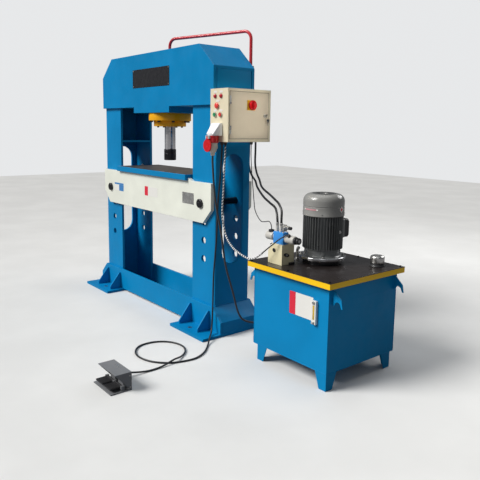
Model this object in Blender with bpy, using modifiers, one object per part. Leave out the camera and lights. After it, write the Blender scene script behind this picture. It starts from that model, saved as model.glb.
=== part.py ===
"""Two-column hydraulic press with its control box, power unit and foot switch.

Metres, +Z up. The sizes below are measured from the middle of the press: x = 0 halfway between
the columns, y = 0 at the columns' front face, z = 0 on the floor. The last step moves everything
so that the origin lies on the floor in the middle of the whole machine's floor plan.
"""

import math

import bmesh
import bpy
from mathutils import Matrix, Vector

# Clearances
GAP = 0.0003
PIN_CLEARANCE = 0.0008
SLIDE_CLEARANCE = 0.0003
ROD_CLEARANCE = 0.0005
STEM_CLEARANCE = 0.0004
DOOR_CLEARANCE = 0.001
PIPE_CLEARANCE = 0.0005
OVERLAP = 0.002

# Columns
PRESS_WIDTH = 1.72
COLUMN_WIDTH = 0.29
COLUMN_DEPTH = 0.32
COLUMN_PLATE = 0.02
COLUMN_BEND = 0.012
SLOT_WIDTH = 0.19
SLOT_BOTTOM = 0.506
SLOT_TOP = 1.32
RIB_HEIGHT = 1.366
RIB_THICKNESS = 0.015
PIN_INSET = 0.145
PIN_HOLE_LOWEST = 0.535
PIN_PITCH = 0.14
PIN_HOLES = 4

# Top beam
BEAM_UNDERSIDE = 1.665
BEAM_SIDE = 0.27
BEAM_HEIGHT = 0.43
BEAM_CHAMFER = 0.18
BEAM_PLATE = 0.025
TAB_WIDTH = 0.56
TAB_DROP = 0.047
CAP_THICKNESS = 0.012
CAP_LAP = 0.02
SEAT_FLOOR = 0.012
SEAT_RIB_SPREAD = 0.34
SEAT_RIB = 0.02

# Base
SOLE_THICKNESS = 0.02
SOLE_INNER = 0.33
SOLE_REACH = 0.105
SOLE_LENGTH = 0.68
RAIL_THICKNESS = 0.02
RAIL_TOP = 0.20
RAIL_SHOULDER = 0.104
RAIL_REACH = 0.10
END_COVER = 0.012
GUSSET_THICKNESS = 0.012
GUSSET_TOP = 0.165
GUSSET_TOE = 0.045
GUSSET_LAND = 0.014
GUSSET_REACH = 0.108
GUSSET_INNER = 0.28
GUSSET_OUTER = 0.04
ANCHOR_RADIUS = 0.011
ANCHOR_INSET = 0.07
ANCHOR_FROM_CORNER = 0.16

# Table
TABLE_TOP = 1.155
TOP_THICKNESS = 0.045
TOP_END_PLAY = 0.02
TOP_OVERHANG = 0.055
TABLE_PLATE = 0.03
TABLE_PLATE_HEIGHT = 0.30
PLATE_PAST_PIN = 0.13
TABLE_CHAMFER_WIDTH = 0.10
TABLE_CHAMFER_HEIGHT = 0.106
STOP_LUG_HEIGHT = 0.02
STOP_LUG_LENGTH = 0.05
TABLE_RIB = 0.015
TABLE_RIB_INNER = 0.30
TABLE_RIB_OUTER = 0.90
TABLE_TIE_DROP = 0.273
TABLE_TIE = 0.012
TABLE_TIE_INSET = 0.014
TONGUE_LENGTH = 0.12
TONGUE_WIDTH = 0.05
TONGUE_DROP = 0.010
TONGUE_THICKNESS = 0.015
TONGUE_Y = 0.265
EYE_COLLAR_RADIUS = 0.017
EYE_COLLAR_HEIGHT = 0.010
EYE_RING_RADIUS = 0.020
EYE_WIRE_RADIUS = 0.006
EYE_INSET = 0.035

# Table pins
PIN_RADIUS = 0.0265
PIN_HEAD_RADIUS = 0.033
PIN_HEAD = 0.018
PIN_END_CHAMFER = 0.004
PIN_STICK_OUT = 0.021

# Cylinder
BORE_RADIUS = 0.10
BARREL_RADIUS = 0.12
BARREL_BASE = 1.5563
BARREL_LENGTH = 0.444
BARREL_CAP = 0.045
FLANGE_RADIUS = 0.175
PORT_BOSS_RADIUS = 0.028
PORT_BOSS_HEIGHT = 0.015
PORT_RADIUS = 0.007
SIDE_PORT_RISE = 0.1023
GLAND_RADIUS = 0.1335
GLAND_THICKNESS = 0.046
GLAND_SPIGOT = 0.044
ROD_RADIUS = 0.045
PISTON_REST = 0.075
PISTON_LENGTH = 0.09
SEAL_GROOVE = 0.003
SEAL_WIDTH = 0.012
SPIGOT_RADIUS = 0.03
SPIGOT_LENGTH = 0.055
HEAD_RADIUS = 0.05
HEAD_BASE = 1.231
HEAD_LENGTH = 0.092
HEAD_SOCKET = 0.038
FLANGE_BOLTS = 8
FLANGE_BOLT_RADIUS = 0.0125
FLANGE_BOLT_HEIGHT = 0.012
GLAND_BOLTS = 6
GLAND_BOLT_RADIUS = 0.009
GLAND_BOLT_HEIGHT = 0.009

# Oil pipes
PIPE_RADIUS = 0.012
PIPE_BEND = 0.06
PIPE_RISE = 0.12
PIPE_OVER_BEAM = 0.025
PIPE_SPREAD = 0.028
PIPE_FOOT = 1.46
TOP_PIPE_X = 0.785
LOWER_PIPE_X = 0.825

# Control box
BOX_WIDTH = 0.20
BOX_DEPTH = 0.38
BOX_HEIGHT = 0.36
BOX_FORWARD = 0.05
BOX_BOTTOM = 1.41
BOX_WALL = 0.0025
DOOR_FRONT_RIM = 0.014
DOOR_REAR_RIM = 0.021
DOOR_LOWER_RIM = 0.024
DOOR_UPPER_RIM = 0.022
DOOR_PROUD = 0.0012
DOOR_SHEET = 0.002
DOOR_RETURN = 0.012
HINGE_RADIUS = 0.006
HINGE_KNUCKLE = 0.018
HINGE_INSET = 0.058
LATCH_DEPTH = 0.0155
LATCH_LIP = 0.016
LATCH_WIDTH = 0.04
BOX_GLAND_RADIUS = 0.010
BOX_GLAND_LENGTH = 0.018
PEDAL_GLAND_PLACE = (0.11, -0.03)
CONTROL_GLAND_PLACE = (0.07, 0.03)
SOLENOID_GLAND_PLACE = (0.025, 0.305)

# Main switch and lock on the door
SWITCH_Y = 0.147
SWITCH_Z = 1.661
SWITCH_PLATE_WIDTH = 0.072
SWITCH_PLATE_HEIGHT = 0.068
SWITCH_PLATE = 0.004
SWITCH_SHAFT_RADIUS = 0.006
SWITCH_DISC_RADIUS = 0.031
SWITCH_DISC = 0.010
SWITCH_GRIP_WIDTH = 0.022
SWITCH_GRIP = 0.020
SWITCH_REACH = 0.02
LOCK_Y = 0.276
LOCK_Z = 1.591
LOCK_RADIUS = 0.009
LOCK_HEAD_RADIUS = 0.012
LOCK_HEAD = 0.004
LOCK_CAM_LENGTH = 0.045
LOCK_CAM_PLAY = 0.0015
LOCK_CAM_WIDTH = 0.012
LOCK_CAM = 0.003
KEY_LENGTH = 0.024
KEY_WIDTH = 0.018
KEY_THICKNESS = 0.003

# Buttons and lamps on the box's front
LAMP_XS = (0.917, 0.983)
LAMP_Z = 1.719
LAMP_RADIUS = 0.0145
LAMP_HEIGHT = 0.013
ESTOP_X = 0.94
ESTOP_Z = 1.655
ESTOP_RADIUS = 0.020
ESTOP_HEIGHT = 0.012
BUTTON_XS = (0.917, 0.98)
BUTTON_Z = 1.594
BUTTON_RADIUS = 0.013
BUTTON_HEIGHT = 0.009
BUTTON_STAND = 0.0045
STEM_RADIUS = 0.0108
STEM_LENGTH = 0.014

# Gear inside the box
GEAR_PLATE = 0.002
GEAR_STAND = 0.012
GEAR_MARGIN = 0.03
GEAR_RAIL_DEPTH = 0.008
GEAR_RAIL_WIDTH = 0.035

# Socket and plug
SOCKET_X = 0.948
SOCKET_TOP = 1.537
SOCKET_BACK_WIDTH = 0.100
SOCKET_FRONT_WIDTH = 0.074
SOCKET_HEIGHT = 0.085
SOCKET_FRONT_DROP = 0.075
SOCKET_REACH = 0.07
SOCKET_AXIS_Y = -0.0925
COLLAR_RADIUS = 0.037
COLLAR_WALL = 0.004
COLLAR_BOTTOM = 1.405
COLLAR_LENGTH = 0.062
LID_RADIUS = 0.044
LID_THICKNESS = 0.007
LID_HINGE_Z = 1.436
LID_PIN_RADIUS = 0.003
LID_BARREL_RADIUS = 0.0055
LID_EAR = 0.006
LID_BARREL_LENGTH = 0.02
PLUG_RADIUS = 0.0325
PLUG_NECK_RADIUS = 0.0125
PLUG_LENGTH = 0.090
PLUG_TAIL = 0.018
PLUG_TILT_BACK = 0.004

# Tank
TANK_LEFT = 1.377
TANK_LENGTH = 0.645
TANK_FRONT = -0.059
TANK_DEPTH = 0.626
TANK_TOP = 0.651
TANK_WALL = 0.0045
TANK_FLOOR = 0.103
LEG_TOP_WIDTH = 0.09
LEG_FOOT_WIDTH = 0.055
LEG_LEFT_INSET = 0.040
LEG_REAR_INSET = 0.030
TANK_RIM_WIDTH = 0.026
TANK_RIM = 0.006
LID_OVERHANG = 0.034
LID_PLATE = 0.0057
LID_SKIRT = 0.037
LID_SKIRT_WALL = 0.004
HOOK_THICKNESS = 0.008
HOOK_TOP = 0.60
HOOK_HEIGHT = 0.08
HOOK_REACH = 0.078
HOOK_NOTCH_RADIUS = 0.022
HOOK_INSET = 0.03
GAUGE_X = 1.9225
GAUGE_WIDTH = 0.034
GAUGE_BOTTOM = 0.382
GAUGE_HEIGHT = 0.142
GAUGE_DEPTH = 0.018
GAUGE_WINDOW_WIDTH = 0.014
GAUGE_WINDOW_HEIGHT = 0.086
GAUGE_WINDOW_DEPTH = 0.006
FILLER_PLACE = (1.94, 0.471)
FILLER_RADIUS = 0.045
FILLER_HEIGHT = 0.068
FILLER_NECK_RADIUS = 0.026
FILLER_NECK = 0.03

# Motor and pump
MOTOR_PLACE = (1.647, 0.279)
MOTOR_FLANGE_RADIUS = 0.15
MOTOR_FLANGE = 0.02
ADAPTER_RADIUS = 0.125
ADAPTER_HEIGHT = 0.0277
ADAPTER_SPIGOT_RADIUS = 0.058
ADAPTER_SPIGOT = 0.037
BELL_RADIUS = 0.110
BELL_HEIGHT = 0.037
MOTOR_CORE_RADIUS = 0.108
MOTOR_FIN_RADIUS = 0.129
MOTOR_FINS = 24
FIN_THICKNESS = 0.004
MOTOR_BODY_TOP = 0.965
SHAFT_RADIUS = 0.019
COUPLING_RADIUS = 0.03
COUPLING_SPACE = 0.04
COUPLING_LENGTH = 0.042
FAN_COVER_RADIUS = 0.132
FAN_COVER_WALL = 0.0025
FAN_COVER_SIDE = 0.089
FAN_COVER_DOME = 0.048
FAN_COVER_CROWN_RADIUS = 0.085
FAN_SLOTS = 12
FAN_SLOT_WIDTH = 0.006
FAN_SLOT_LENGTH = 0.040
FAN_HUB_RADIUS = 0.03
FAN_HUB = 0.045
FAN_BLADES = 6
FAN_BLADE_RADIUS = 0.11
FAN_BLADE = 0.003
FAN_STAND = 0.02
TERMINAL_WIDTH = 0.11
TERMINAL_HEIGHT = 0.122
TERMINAL_REACH = 0.19
TERMINAL_DROP = 0.037
TERMINAL_GLAND_BACK = 0.161
TERMINAL_ROUND = 0.012
TERMINAL_GLAND_RADIUS = 0.012
TERMINAL_GLAND_LENGTH = 0.02
PUMP_RADIUS = 0.045
PUMP_LENGTH = 0.12
PUMP_FLANGE = 0.012
PUMP_SHAFT_RADIUS = 0.012
SUCTION_RADIUS = 0.014
STRAINER_RADIUS = 0.038
STRAINER_LENGTH = 0.10
STRAINER_CLEARANCE = 0.035

# Manifold and valve
MANIFOLD_X = 1.457
MANIFOLD_WIDTH = 0.128
MANIFOLD_FRONT = -0.02
MANIFOLD_DEPTH = 0.106
MANIFOLD_HEIGHT = 0.13
MANIFOLD_SHOULDER = 0.038
MANIFOLD_SHOULDER_HEIGHT = 0.078
MANIFOLD_PORT_RADIUS = 0.012
MANIFOLD_PORT_DEPTH = 0.012
VALVE_X = 1.49
VALVE_WIDTH = 0.092
VALVE_FRONT = -0.01
VALVE_DEPTH = 0.047
VALVE_HEIGHT = 0.075
FITTING_XS = (1.502, 1.538)
FITTING_Y = 0.0135
FITTING_HEX_RADIUS = 0.0125
FITTING_HEX = 0.014
FITTING_NECK_RADIUS = 0.0095
FITTING_NECK = 0.022
RISER_X = 1.504
RISER_WIDTH = 0.030
RISER_DEPTH = 0.032
RISER_HEIGHT = 0.039
SOLENOID_RADIUS = 0.0265
SOLENOID_NUT_RADIUS = 0.019
SOLENOID_NUT = 0.012
LEFT_SOLENOID_LENGTH = 0.075
RIGHT_SOLENOID_LENGTH = 0.085
SOLENOID_CAP_RADIUS = 0.021
SOLENOID_CAP = 0.035
SOLENOID_PLUG_RADIUS = 0.009
SOLENOID_PLUG = 0.014
SOLENOID_HEIGHT = 0.038
SOCKET_LEAN = (0, -0.6, 0.8)
RELIEF_RADIUS = 0.012
RELIEF_LENGTH = 0.034
RELIEF_KNOB_RADIUS = 0.010
RELIEF_KNOB = 0.020
RELIEF_SPIGOT = 0.012

# Foot switch
PEDAL_LEFT = 1.100
PEDAL_WIDTH = 0.222
PEDAL_FRONT = -1.066
PEDAL_DEPTH = 0.134
PEDAL_PLATE = 0.006
PEDAL_HINGE_BACK = 0.081
PEDAL_HINGE_Z = 0.026
PEDAL_PIN_RADIUS = 0.003
TREAD_BARREL_RADIUS = 0.007
TREAD_WIDTH = 0.085
TREAD_LENGTH = 0.075
TREAD_THICKNESS = 0.008
TREAD_RIM = 0.004
PEDAL_LUG = 0.012
PEDAL_LUG_DEPTH = 0.022
SWITCH_BLOCK_DEPTH = 0.040
SWITCH_BLOCK_HEIGHT = 0.05
HOOD_SHEET = 0.0025
HOOD_HEIGHT = 0.111
HOOD_FRONT = 0.03
PEDAL_GLAND_RADIUS = 0.008
PEDAL_GLAND_LENGTH = 0.015

# Cords
PLUG_CABLE_DIAMETER = 0.014
PEDAL_CABLE_DIAMETER = 0.0115
CONTROL_CABLE_DIAMETER = 0.012
SOLENOID_CABLE_DIAMETER = 0.006
HOSE_DIAMETER = 0.015
CORD_STUB = 0.008

# Places that follow from the sizes above
OUTER = PRESS_WIDTH / 2
INNER = OUTER - COLUMN_WIDTH
AXIS_Y = COLUMN_DEPTH / 2
BEAM_TOP = BEAM_UNDERSIDE + BEAM_HEIGHT
BEAM_SHOULDER = BEAM_UNDERSIDE + BEAM_SIDE
COLUMN_TOP = BEAM_SHOULDER - CAP_LAP
COLUMN_FOOT = SOLE_THICKNESS + GAP
PIN_X = OUTER - PIN_INSET
PIN_Z = PIN_HOLE_LOWEST + PIN_PITCH * (PIN_HOLES - 1)
PIN_HOLE_RADIUS = PIN_RADIUS + PIN_CLEARANCE
TABLE_PLATE_TOP = TABLE_TOP - TOP_THICKNESS
TABLE_PLATE_FOOT = TABLE_PLATE_TOP - TABLE_PLATE_HEIGHT
TOP_LENGTH = 2 * (INNER - TOP_END_PLAY)
SEAT_UNDERSIDE = BEAM_UNDERSIDE - TAB_DROP
FLANGE_TOP = SEAT_UNDERSIDE - GAP
SIDE_PORT_HEIGHT = FLANGE_TOP + SIDE_PORT_RISE
GLAND_TOP = BARREL_BASE - GAP
GLAND_BASE = GLAND_TOP - GLAND_THICKNESS
PISTON_BASE = GLAND_TOP + GLAND_SPIGOT + PISTON_REST
BARREL_TOP = BARREL_BASE + BARREL_LENGTH
BOX_BACK = OUTER + GAP
BOX_FACE = BOX_BACK + BOX_WIDTH
BOX_FRONT = -BOX_FORWARD
BOX_REAR = BOX_FRONT + BOX_DEPTH
BOX_TOP = BOX_BOTTOM + BOX_HEIGHT
DOOR_FACE = BOX_FACE + DOOR_PROUD
DOOR_FRONT = BOX_FRONT + DOOR_FRONT_RIM
DOOR_REAR = BOX_REAR - DOOR_REAR_RIM
DOOR_BOTTOM = BOX_BOTTOM + DOOR_LOWER_RIM
DOOR_TOP = BOX_TOP - DOOR_UPPER_RIM
HINGE_X = DOOR_FACE + HINGE_RADIUS
TANK_RIGHT = TANK_LEFT + TANK_LENGTH
TANK_REAR = TANK_FRONT + TANK_DEPTH
TANK_LID_TOP = TANK_TOP + GAP + LID_PLATE
ON_TANK = TANK_LID_TOP + GAP
MOTOR_FLANGE_TOP = ON_TANK + ADAPTER_HEIGHT + MOTOR_FLANGE
ADAPTER_FOOT = ON_TANK - ADAPTER_SPIGOT
VALVE_FOOT = ON_TANK + MANIFOLD_HEIGHT + GAP
VALVE_TOP = VALVE_FOOT + VALVE_HEIGHT
VALVE_AXIS_Y = VALVE_FRONT + VALVE_DEPTH / 2
VALVE_AXIS_Z = VALVE_FOOT + SOLENOID_HEIGHT
PEDAL_RIGHT = PEDAL_LEFT + PEDAL_WIDTH
PEDAL_REAR = PEDAL_FRONT + PEDAL_DEPTH
PEDAL_AXIS_Y = PEDAL_FRONT + PEDAL_HINGE_BACK

# The floor plan's middle: from the left sole to the tips of the right-hand tank hooks, and from
# the front of the foot switch to the rear edge of the tank's lid
PLAN_LEFT = -OUTER - SOLE_REACH
PLAN_RIGHT = TANK_RIGHT + HOOK_REACH
PLAN_REAR = TANK_REAR + LID_OVERHANG
PLAN_MIDDLE = Vector(((PLAN_LEFT + PLAN_RIGHT) / 2, (PEDAL_FRONT + PLAN_REAR) / 2, 0))


def clear_scene():
    for thing in list(bpy.data.objects):
        bpy.data.objects.remove(thing, do_unlink=True)


def collection(name, hidden=False):
    made = bpy.data.collections.new(name)
    bpy.context.scene.collection.children.link(made)
    made.hide_render = hidden
    return made


clear_scene()
PARTS = collection("hydraulic_press")
CUTTERS = collection("cutters", hidden=True)


def material(name, colour, roughness, metallic=0.0):
    made = bpy.data.materials.new(name)
    made.use_nodes = True
    shader = made.node_tree.nodes["Principled BSDF"]
    shader.inputs["Base Color"].default_value = (*colour, 1.0)
    shader.inputs["Roughness"].default_value = roughness
    shader.inputs["Metallic"].default_value = metallic
    made.diffuse_color = (*colour, 1.0)
    return made


PRESS_BLUE = material("press_blue", (0.012, 0.225, 0.47), 0.35)
TABLE_WHITE = material("table_white", (0.62, 0.70, 0.74), 0.4)
BARE_STEEL = material("bare_steel", (0.33, 0.30, 0.27), 0.45, 1.0)
BRIGHT_STEEL = material("bright_steel", (0.72, 0.72, 0.70), 0.2, 1.0)
CHROME = material("chrome", (0.8, 0.8, 0.8), 0.08, 1.0)
DARK_STEEL = material("dark_steel", (0.045, 0.045, 0.05), 0.4, 0.8)
CYLINDER_ORANGE = material("cylinder_orange", (0.80, 0.27, 0.02), 0.4)
PIPE_RED = material("pipe_red", (0.62, 0.03, 0.02), 0.35)
BOX_BEIGE = material("box_beige", (0.60, 0.53, 0.40), 0.45)
SIGNAL_RED = material("signal_red", (0.70, 0.02, 0.02), 0.3)
SIGNAL_GREEN = material("signal_green", (0.03, 0.35, 0.15), 0.3)
PLASTIC_WHITE = material("plastic_white", (0.80, 0.78, 0.74), 0.4)
MOTOR_GREY = material("motor_grey", (0.13, 0.14, 0.14), 0.38, 0.3)
LID_BLACK = material("lid_black", (0.02, 0.018, 0.018), 0.18)
MANIFOLD_CREAM = material("manifold_cream", (0.60, 0.56, 0.40), 0.4)
VALVE_BLUE = material("valve_blue", (0.08, 0.24, 0.55), 0.4)
PEDAL_GREY = material("pedal_grey", (0.22, 0.23, 0.24), 0.5)
CABLE_BLACK = material("cable_black", (0.02, 0.02, 0.02), 0.5)
WRAP_WHITE = material("wrap_white", (0.6, 0.6, 0.6), 0.4)


def keep(thing, colour):
    """Puts an object with the parts, in its own colour."""
    thing.data.materials.clear()
    thing.data.materials.append(colour)
    PARTS.objects.link(thing)
    return thing


def from_bmesh(name, colour, shape):
    bmesh.ops.recalc_face_normals(shape, faces=shape.faces)
    mesh = bpy.data.meshes.new(name)
    shape.to_mesh(mesh)
    shape.free()
    return keep(bpy.data.objects.new(name, mesh), colour)


def box(name, colour, xs, ys, zs):
    """A block between two values along each axis, with its origin in its middle."""
    shape = bmesh.new()
    bmesh.ops.create_cube(shape, size=1.0)
    sides = [abs(pair[1] - pair[0]) for pair in (xs, ys, zs)]
    bmesh.ops.scale(shape, vec=sides, verts=shape.verts)
    made = from_bmesh(name, colour, shape)
    made.location = [sum(pair) / 2 for pair in (xs, ys, zs)]
    return made


PLANES = {
    "x": Matrix(((0, 0, 1), (1, 0, 0), (0, 1, 0))),
    "y": Matrix(((1, 0, 0), (0, 0, -1), (0, 1, 0))),
    "z": Matrix.Identity(3),
}
NORMALS = {"x": Vector((1, 0, 0)), "y": Vector((0, 1, 0)), "z": Vector((0, 0, 1))}


def plate(name, colour, across, ends, *loops):
    """A flat outline, with its holes after it, as thick as the space between two ends of an axis."""
    curve = bpy.data.curves.new(name, "CURVE")
    curve.dimensions = "2D"
    curve.fill_mode = "BOTH"
    curve.extrude = abs(ends[1] - ends[0]) / 2
    for loop in loops:
        spline = curve.splines.new("POLY")
        spline.points.add(len(loop) - 1)
        for point, (u, v) in zip(spline.points, loop):
            point.co = (u, v, 0, 1)
        spline.use_cyclic_u = True
    outline = bpy.data.objects.new(name + "_outline", curve)
    turn = PLANES[across].to_4x4()
    outline.matrix_world = Matrix.Translation(NORMALS[across] * sum(ends) / 2) @ turn
    PARTS.objects.link(outline)
    graph = bpy.context.evaluated_depsgraph_get()
    mesh = bpy.data.meshes.new_from_object(outline.evaluated_get(graph))
    shape = bmesh.new()
    shape.from_mesh(mesh)
    bmesh.ops.remove_doubles(shape, verts=shape.verts, dist=0.00001)
    bmesh.ops.recalc_face_normals(shape, faces=shape.faces)
    shape.to_mesh(mesh)
    shape.free()
    mesh.name = name
    made = keep(bpy.data.objects.new(name, mesh), colour)
    made.matrix_world = outline.matrix_world
    bpy.data.objects.remove(outline, do_unlink=True)
    return made


def facing(direction):
    """The turn that points an object's own +Z along a direction."""
    return Vector(direction).to_track_quat("Z", "Y")


def smooth(thing, angle=35):
    thing.data.shade_smooth()
    thing.data.set_sharp_from_angle(angle=math.radians(angle))
    return thing


def turned(name, colour, profile, at=(0, 0, 0), direction=(0, 0, 1), steps=32):
    """A profile of (radius, height) pairs, turned round the line through `at` along `direction`."""
    mesh = bpy.data.meshes.new(name)
    ring = profile[0][0] > 0 and profile[-1][0] > 0
    edges = [(i, i + 1) for i in range(len(profile) - 1)]
    if ring:
        edges.append((len(profile) - 1, 0))
    mesh.from_pydata([(radius, 0, height) for radius, height in profile], edges, [])
    made = keep(bpy.data.objects.new(name, mesh), colour)
    made.location = at
    made.rotation_mode = "QUATERNION"
    made.rotation_quaternion = facing(direction)
    spin = made.modifiers.new("Turn", "SCREW")
    spin.steps = steps
    spin.render_steps = steps
    spin.use_merge_vertices = True
    spin.merge_threshold = 0.00005
    spin.use_smooth_shade = False
    return made


def rod(name, colour, start, end, radius, steps=24, far_radius=None):
    """A straight round bar, or a cone, between two points."""
    start, end = Vector(start), Vector(end)
    far = radius if far_radius is None else far_radius
    shape = bmesh.new()
    bmesh.ops.create_cone(
        shape,
        cap_ends=True,
        segments=steps,
        radius1=radius,
        radius2=far,
        depth=(end - start).length,
    )
    made = from_bmesh(name, colour, shape)
    made.location = (start + end) / 2
    made.rotation_mode = "QUATERNION"
    made.rotation_quaternion = facing(end - start)
    return smooth(made)


def tube(name, colour, points, radius, sides=2):
    """A round wire or pipe along points."""
    curve = bpy.data.curves.new(name, "CURVE")
    curve.dimensions = "3D"
    curve.bevel_depth = radius
    curve.bevel_resolution = sides
    curve.use_fill_caps = True
    spline = curve.splines.new("POLY")
    spline.points.add(len(points) - 1)
    for point, place in zip(spline.points, points):
        point.co = (*place, 1)
    return keep(bpy.data.objects.new(name, curve), colour)


def helper(thing):
    """Makes an object a cutter or a piece to join on."""
    PARTS.objects.unlink(thing)
    CUTTERS.objects.link(thing)
    thing.hide_render = True
    thing.display_type = "WIRE"
    return thing


def boolean(target, tool, operation):
    made = target.modifiers.new(tool.name, "BOOLEAN")
    made.operation = operation
    made.solver = "EXACT"
    made.object = helper(tool)


def cut(target, *tools):
    for tool in tools:
        boolean(target, tool, "DIFFERENCE")
    return target


def join(target, *tools):
    for tool in tools:
        boolean(target, tool, "UNION")
    return target


def one_mesh(name, colour, things):
    """Several shapes as one mesh, for use as a single cutter or join."""
    graph = bpy.context.evaluated_depsgraph_get()
    shape = bmesh.new()
    for thing in things:
        mesh = bpy.data.meshes.new_from_object(thing.evaluated_get(graph))
        mesh.transform(thing.matrix_world)
        shape.from_mesh(mesh)
        bpy.data.meshes.remove(mesh)
        bpy.data.objects.remove(thing, do_unlink=True)
    return from_bmesh(name, colour, shape)


def set_origin(thing, place):
    """Moves an object's origin to a place, such as its joint's axis, and leaves the shape still."""
    bpy.context.view_layer.update()
    place = Vector(place)
    shift = thing.matrix_world.inverted() @ place
    thing.data.transform(Matrix.Translation(-shift))
    thing.location = place
    return thing


def circle(centre, radius, steps=16):
    turn = math.tau / steps
    return [
        (centre[0] + radius * math.cos(turn * i), centre[1] + radius * math.sin(turn * i))
        for i in range(steps)
    ]


def arc(centre, radius, start, end, steps):
    """Points along an arc, from one angle to another in degrees."""
    angles = [math.radians(start + (end - start) * i / steps) for i in range(steps + 1)]
    return [
        (centre[0] + radius * math.cos(a), centre[1] + radius * math.sin(a)) for a in angles
    ]


def rounded(corners, radius, steps=4):
    """A polygon with every corner rounded."""
    points = []
    for before, corner, after in zip(corners[-1:] + corners, corners, corners[1:] + corners[:1]):
        corner = Vector(corner)
        inward = (Vector(before) - corner).normalized()
        outward = (Vector(after) - corner).normalized()
        half = inward.angle(outward) / 2
        start = corner + inward * radius / math.tan(half)
        end = corner + outward * radius / math.tan(half)
        middle = corner + (inward + outward).normalized() * radius / math.sin(half)
        first, last = start - middle, end - middle
        for i in range(steps + 1):
            points.append(tuple(middle + first.slerp(last, i / steps).normalized() * radius))
    return points


def mirrored(half):
    """A closed outline from its right half, given from bottom to top."""
    return half + [(-u, v) for u, v in reversed(half) if u > 0]


def spread_round(centre, radius, count, start=0.0):
    return [
        (
            centre[0] + radius * math.cos(start + math.tau * i / count),
            centre[1] + radius * math.sin(start + math.tau * i / count),
        )
        for i in range(count)
    ]


def column(name, side):
    """Folded channel, open towards the other column, with a slotted web and drilled flanges."""
    web = OUTER - COLUMN_PLATE
    back = COLUMN_DEPTH
    inside = [
        (INNER, COLUMN_PLATE),
        (web, COLUMN_PLATE),
        (web, back - COLUMN_PLATE),
        (INNER, back - COLUMN_PLATE),
    ]
    front_bend = arc((OUTER - COLUMN_BEND, COLUMN_BEND), COLUMN_BEND, 0, -90, 3)
    rear_bend = arc((OUTER - COLUMN_BEND, back - COLUMN_BEND), COLUMN_BEND, 90, 0, 3)
    outline = inside + [(INNER, back)] + rear_bend + front_bend + [(INNER, 0)]
    made = plate(
        name, PRESS_BLUE, "z", (COLUMN_FOOT, COLUMN_TOP), [(side * x, y) for x, y in outline]
    )
    radius = SLOT_WIDTH / 2
    slot_outline = arc((AXIS_Y, SLOT_TOP - radius), radius, 0, 180, 8)
    slot_outline += arc((AXIS_Y, SLOT_BOTTOM + radius), radius, 180, 360, 8)
    slot = plate(
        name + "_slot",
        PRESS_BLUE,
        "x",
        sorted((side * (web - OVERLAP), side * (OUTER + OVERLAP))),
        slot_outline,
    )
    drills = [
        rod(
            f"{name}_hole_{i}",
            PRESS_BLUE,
            (side * PIN_X, -OVERLAP, PIN_HOLE_LOWEST + PIN_PITCH * i),
            (side * PIN_X, back + OVERLAP, PIN_HOLE_LOWEST + PIN_PITCH * i),
            PIN_HOLE_RADIUS,
            16,
        )
        for i in range(PIN_HOLES)
    ]
    rib = box(
        name + "_rib",
        PRESS_BLUE,
        sorted((side * INNER, side * (web + OVERLAP))),
        (COLUMN_PLATE - OVERLAP, back - COLUMN_PLATE + OVERLAP),
        (RIB_HEIGHT, RIB_HEIGHT + RIB_THICKNESS),
    )
    cut(made, slot, *drills)
    join(made, rib)
    return made


def beam_outline():
    return mirrored(
        [
            (TAB_WIDTH / 2, SEAT_UNDERSIDE),
            (TAB_WIDTH / 2, BEAM_UNDERSIDE),
            (OUTER, BEAM_UNDERSIDE),
            (OUTER, BEAM_SHOULDER),
            (OUTER - BEAM_CHAMFER, BEAM_TOP),
        ]
    )


def beam_plates():
    plate(
        "beam_front_plate", PRESS_BLUE, "y", (-GAP - BEAM_PLATE, -GAP), beam_outline()
    )
    rear = COLUMN_DEPTH + GAP
    pipe_hole = circle((0, SIDE_PORT_HEIGHT), PIPE_RADIUS + PIPE_CLEARANCE, 16)
    plate(
        "beam_rear_plate",
        PRESS_BLUE,
        "y",
        (rear, rear + BEAM_PLATE),
        beam_outline(),
        pipe_hole,
    )


def beam_cap():
    """Strip that closes the beam's ends and top, standing on the columns' webs."""
    outer = [
        (OUTER, COLUMN_TOP + GAP),
        (OUTER, BEAM_SHOULDER),
        (OUTER - BEAM_CHAMFER, BEAM_TOP),
    ]
    rise = BEAM_TOP - BEAM_SHOULDER
    slope = math.hypot(BEAM_CHAMFER, rise)
    shoulder_drop = CAP_THICKNESS * (slope - rise) / BEAM_CHAMFER
    top_inset = CAP_THICKNESS * (slope - BEAM_CHAMFER) / rise
    inner = [
        (OUTER - BEAM_CHAMFER - top_inset, BEAM_TOP - CAP_THICKNESS),
        (OUTER - CAP_THICKNESS, BEAM_SHOULDER - shoulder_drop),
        (OUTER - CAP_THICKNESS, COLUMN_TOP + GAP),
    ]
    right = outer + [(-x, z) for x, z in reversed(outer)]
    left = [(-x, z) for x, z in reversed(inner)] + inner
    strip = plate("beam_cap", PRESS_BLUE, "y", (0, COLUMN_DEPTH), right + left)
    hole = rod(
        "beam_cap_hole",
        PRESS_BLUE,
        (0, AXIS_Y, BEAM_TOP - 2 * CAP_THICKNESS),
        (0, AXIS_Y, BEAM_TOP + CAP_THICKNESS),
        PIPE_RADIUS + PIPE_CLEARANCE,
        16,
    )
    return cut(strip, hole)


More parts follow.
